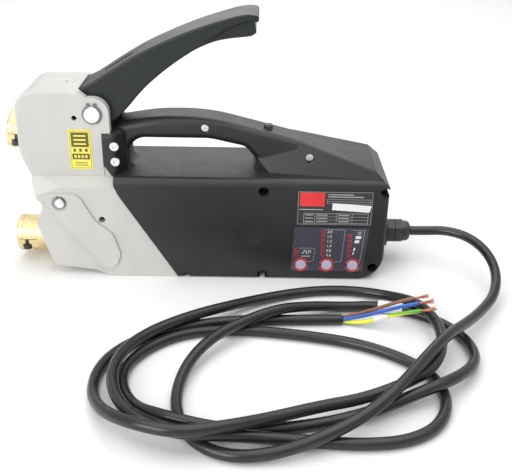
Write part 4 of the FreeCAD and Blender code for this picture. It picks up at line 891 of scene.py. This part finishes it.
def print_plate():
    """A red block, a blank sticker and the empty rules of a table."""
    low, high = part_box("rating_plate")
    face = low.y
    x0, x1, z0, z1 = low.x / MM, high.x / MM, low.z / MM, high.z / MM
    printed("plate_red_block", [bar(x0 + 2.6, x0 + 27.4, z1 - 16.6, z1 - 1.6)], face, print_red)
    border = frame_shapes(x0 + 0.9, x1 - 0.9, z0 + 0.9, z1 - 0.9, 0.3)
    rules = frame_shapes(91.0, 156.0, 65.8, 76.6, 0.4)
    for z in (69.4, 73.0):
        rules += line_shapes([(102.0, z), (156.0, z)], 0.3)
    for x in (102.0, 124.0, 140.0):
        rules += line_shapes([(x, 65.8), (x, 76.6)], 0.3)
    rules += frame_shapes(114.0, 157.5, 87.5, 92.2, 0.3)
    rules += line_shapes([(114.0, 89.8), (157.5, 89.8)], 0.3)
    rules += [bar(114.5, 150.0, 94.6, 95.5), bar(114.5, 140.0, 97.0, 97.9), bar(86.6, 110.0, 80.4, 81.3)]
    rules += [bar(92.6, 100.4, z, z + 0.9) for z in (67.2, 70.8, 74.4)]
    rules += [bar(x, x + 11.0, z, z + 0.9) for x in (104.0, 126.0) for z in (67.2, 70.8, 74.4)]
    printed("plate_table", border + rules, face, print_grey)
    sticker = [[(119.0, 80.6), (157.0, 78.2), (158.8, 85.6), (119.6, 88.2)]]
    printed("plate_sticker", sticker, face, print_white, 0.12)


def print_head_label():
    """Plain dark blocks with yellow windows."""
    low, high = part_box("head_label")
    x0, x1, z0, z1 = low.x / MM, high.x / MM, low.z / MM, high.z / MM
    middle = (x0 + x1) / 2
    blocks = frame_shapes(x0 + 1.4, x1 - 1.4, z0 + 1.4, z1 - 1.4, 0.4)
    blocks.append(bar(x0 + 2.6, x1 - 2.6, z1 - 18.0, z1 - 2.8))
    blocks.append(bar(x0 + 2.6, x1 - 2.6, z0 + 10.5, z0 + 16.5))
    blocks += [bar(x, x + 2.6, z0 + 18.6, z0 + 21.8) for x in (x0 + 4.2, middle - 1.3, x1 - 6.8)]
    blocks += [bar(x0 + 5.0, x1 - 5.0, z, z + 0.8) for z in (z0 + 4.0, z0 + 6.4)]
    printed("head_label_blocks", blocks, low.y, print_dark)
    windows = [bar(x0 + 4.6 + 3.6 * i, x0 + 6.8 + 3.6 * i, z0 + 12.0, z0 + 15.0) for i in range(4)]
    windows += [bar(x0 + 5.2, x1 - 5.2, z, z + 1.6) for z in (z1 - 15.6, z1 - 11.4, z1 - 7.2)]
    printed("head_label_windows", windows, low.y - 0.00006, label_yellow, 0.04)


print_panel()
print_plate()
print_head_label()


# ---- floor and light --------------------------------------------------------------------
FLOOR_REACH = 6.0
FLOOR_Z = -0.0002       # just under the feet and the cable
WORLD_STRENGTH = 0.60


def make_floor():
    corners = [(-FLOOR_REACH, -FLOOR_REACH), (FLOOR_REACH, -FLOOR_REACH), (FLOOR_REACH, FLOOR_REACH),
               (-FLOOR_REACH, FLOOR_REACH)]
    mesh = bpy.data.meshes.new("floor")
    mesh.from_pydata([(x, y, FLOOR_Z) for x, y in corners], [], [(0, 1, 2, 3)])
    floor = bpy.data.objects.new("floor", mesh)
    SCENE.collection.objects.link(floor)
    mesh.materials.append(grained("floor paper", (0.86, 0.86, 0.86), (0.87, 0.87, 0.87), roughness=0.9,
                                  grain_scale=300.0, depth=0.00001, dust=0.0, smudge=0.0))


def area_light(name, place, target, size, watts):
    data = bpy.data.lights.new(name, "AREA")
    data.shape = "SQUARE"
    data.size = size
    data.energy = watts
    light = bpy.data.objects.new(name, data)
    SCENE.collection.objects.link(light)
    aim = (Vector(target) - Vector(place)).to_track_quat("-Z", "Y")
    light.matrix_world = Matrix.Translation(place) @ aim.to_matrix().to_4x4()


def make_light():
    world = bpy.data.worlds.new("studio")
    world.use_nodes = True
    background = world.node_tree.nodes["Background"]
    background.inputs["Color"].default_value = (1.0, 1.0, 1.0, 1.0)
    background.inputs["Strength"].default_value = WORLD_STRENGTH
    SCENE.world = world
    area_light("overhead", (0.1, -0.1, 1.9), (0.0, -0.2, 0.0), 2.4, 28.0)
    area_light("rear_high", (0.0, 1.7, 1.15), (0.0, 0.0, 0.05), 1.7, 8.0)
    area_light("front_left", (-1.1, -1.5, 0.9), (0.0, 0.0, 0.1), 1.2, 22.0)
    SCENE.view_settings.view_transform = "Standard"


make_floor()
make_light()
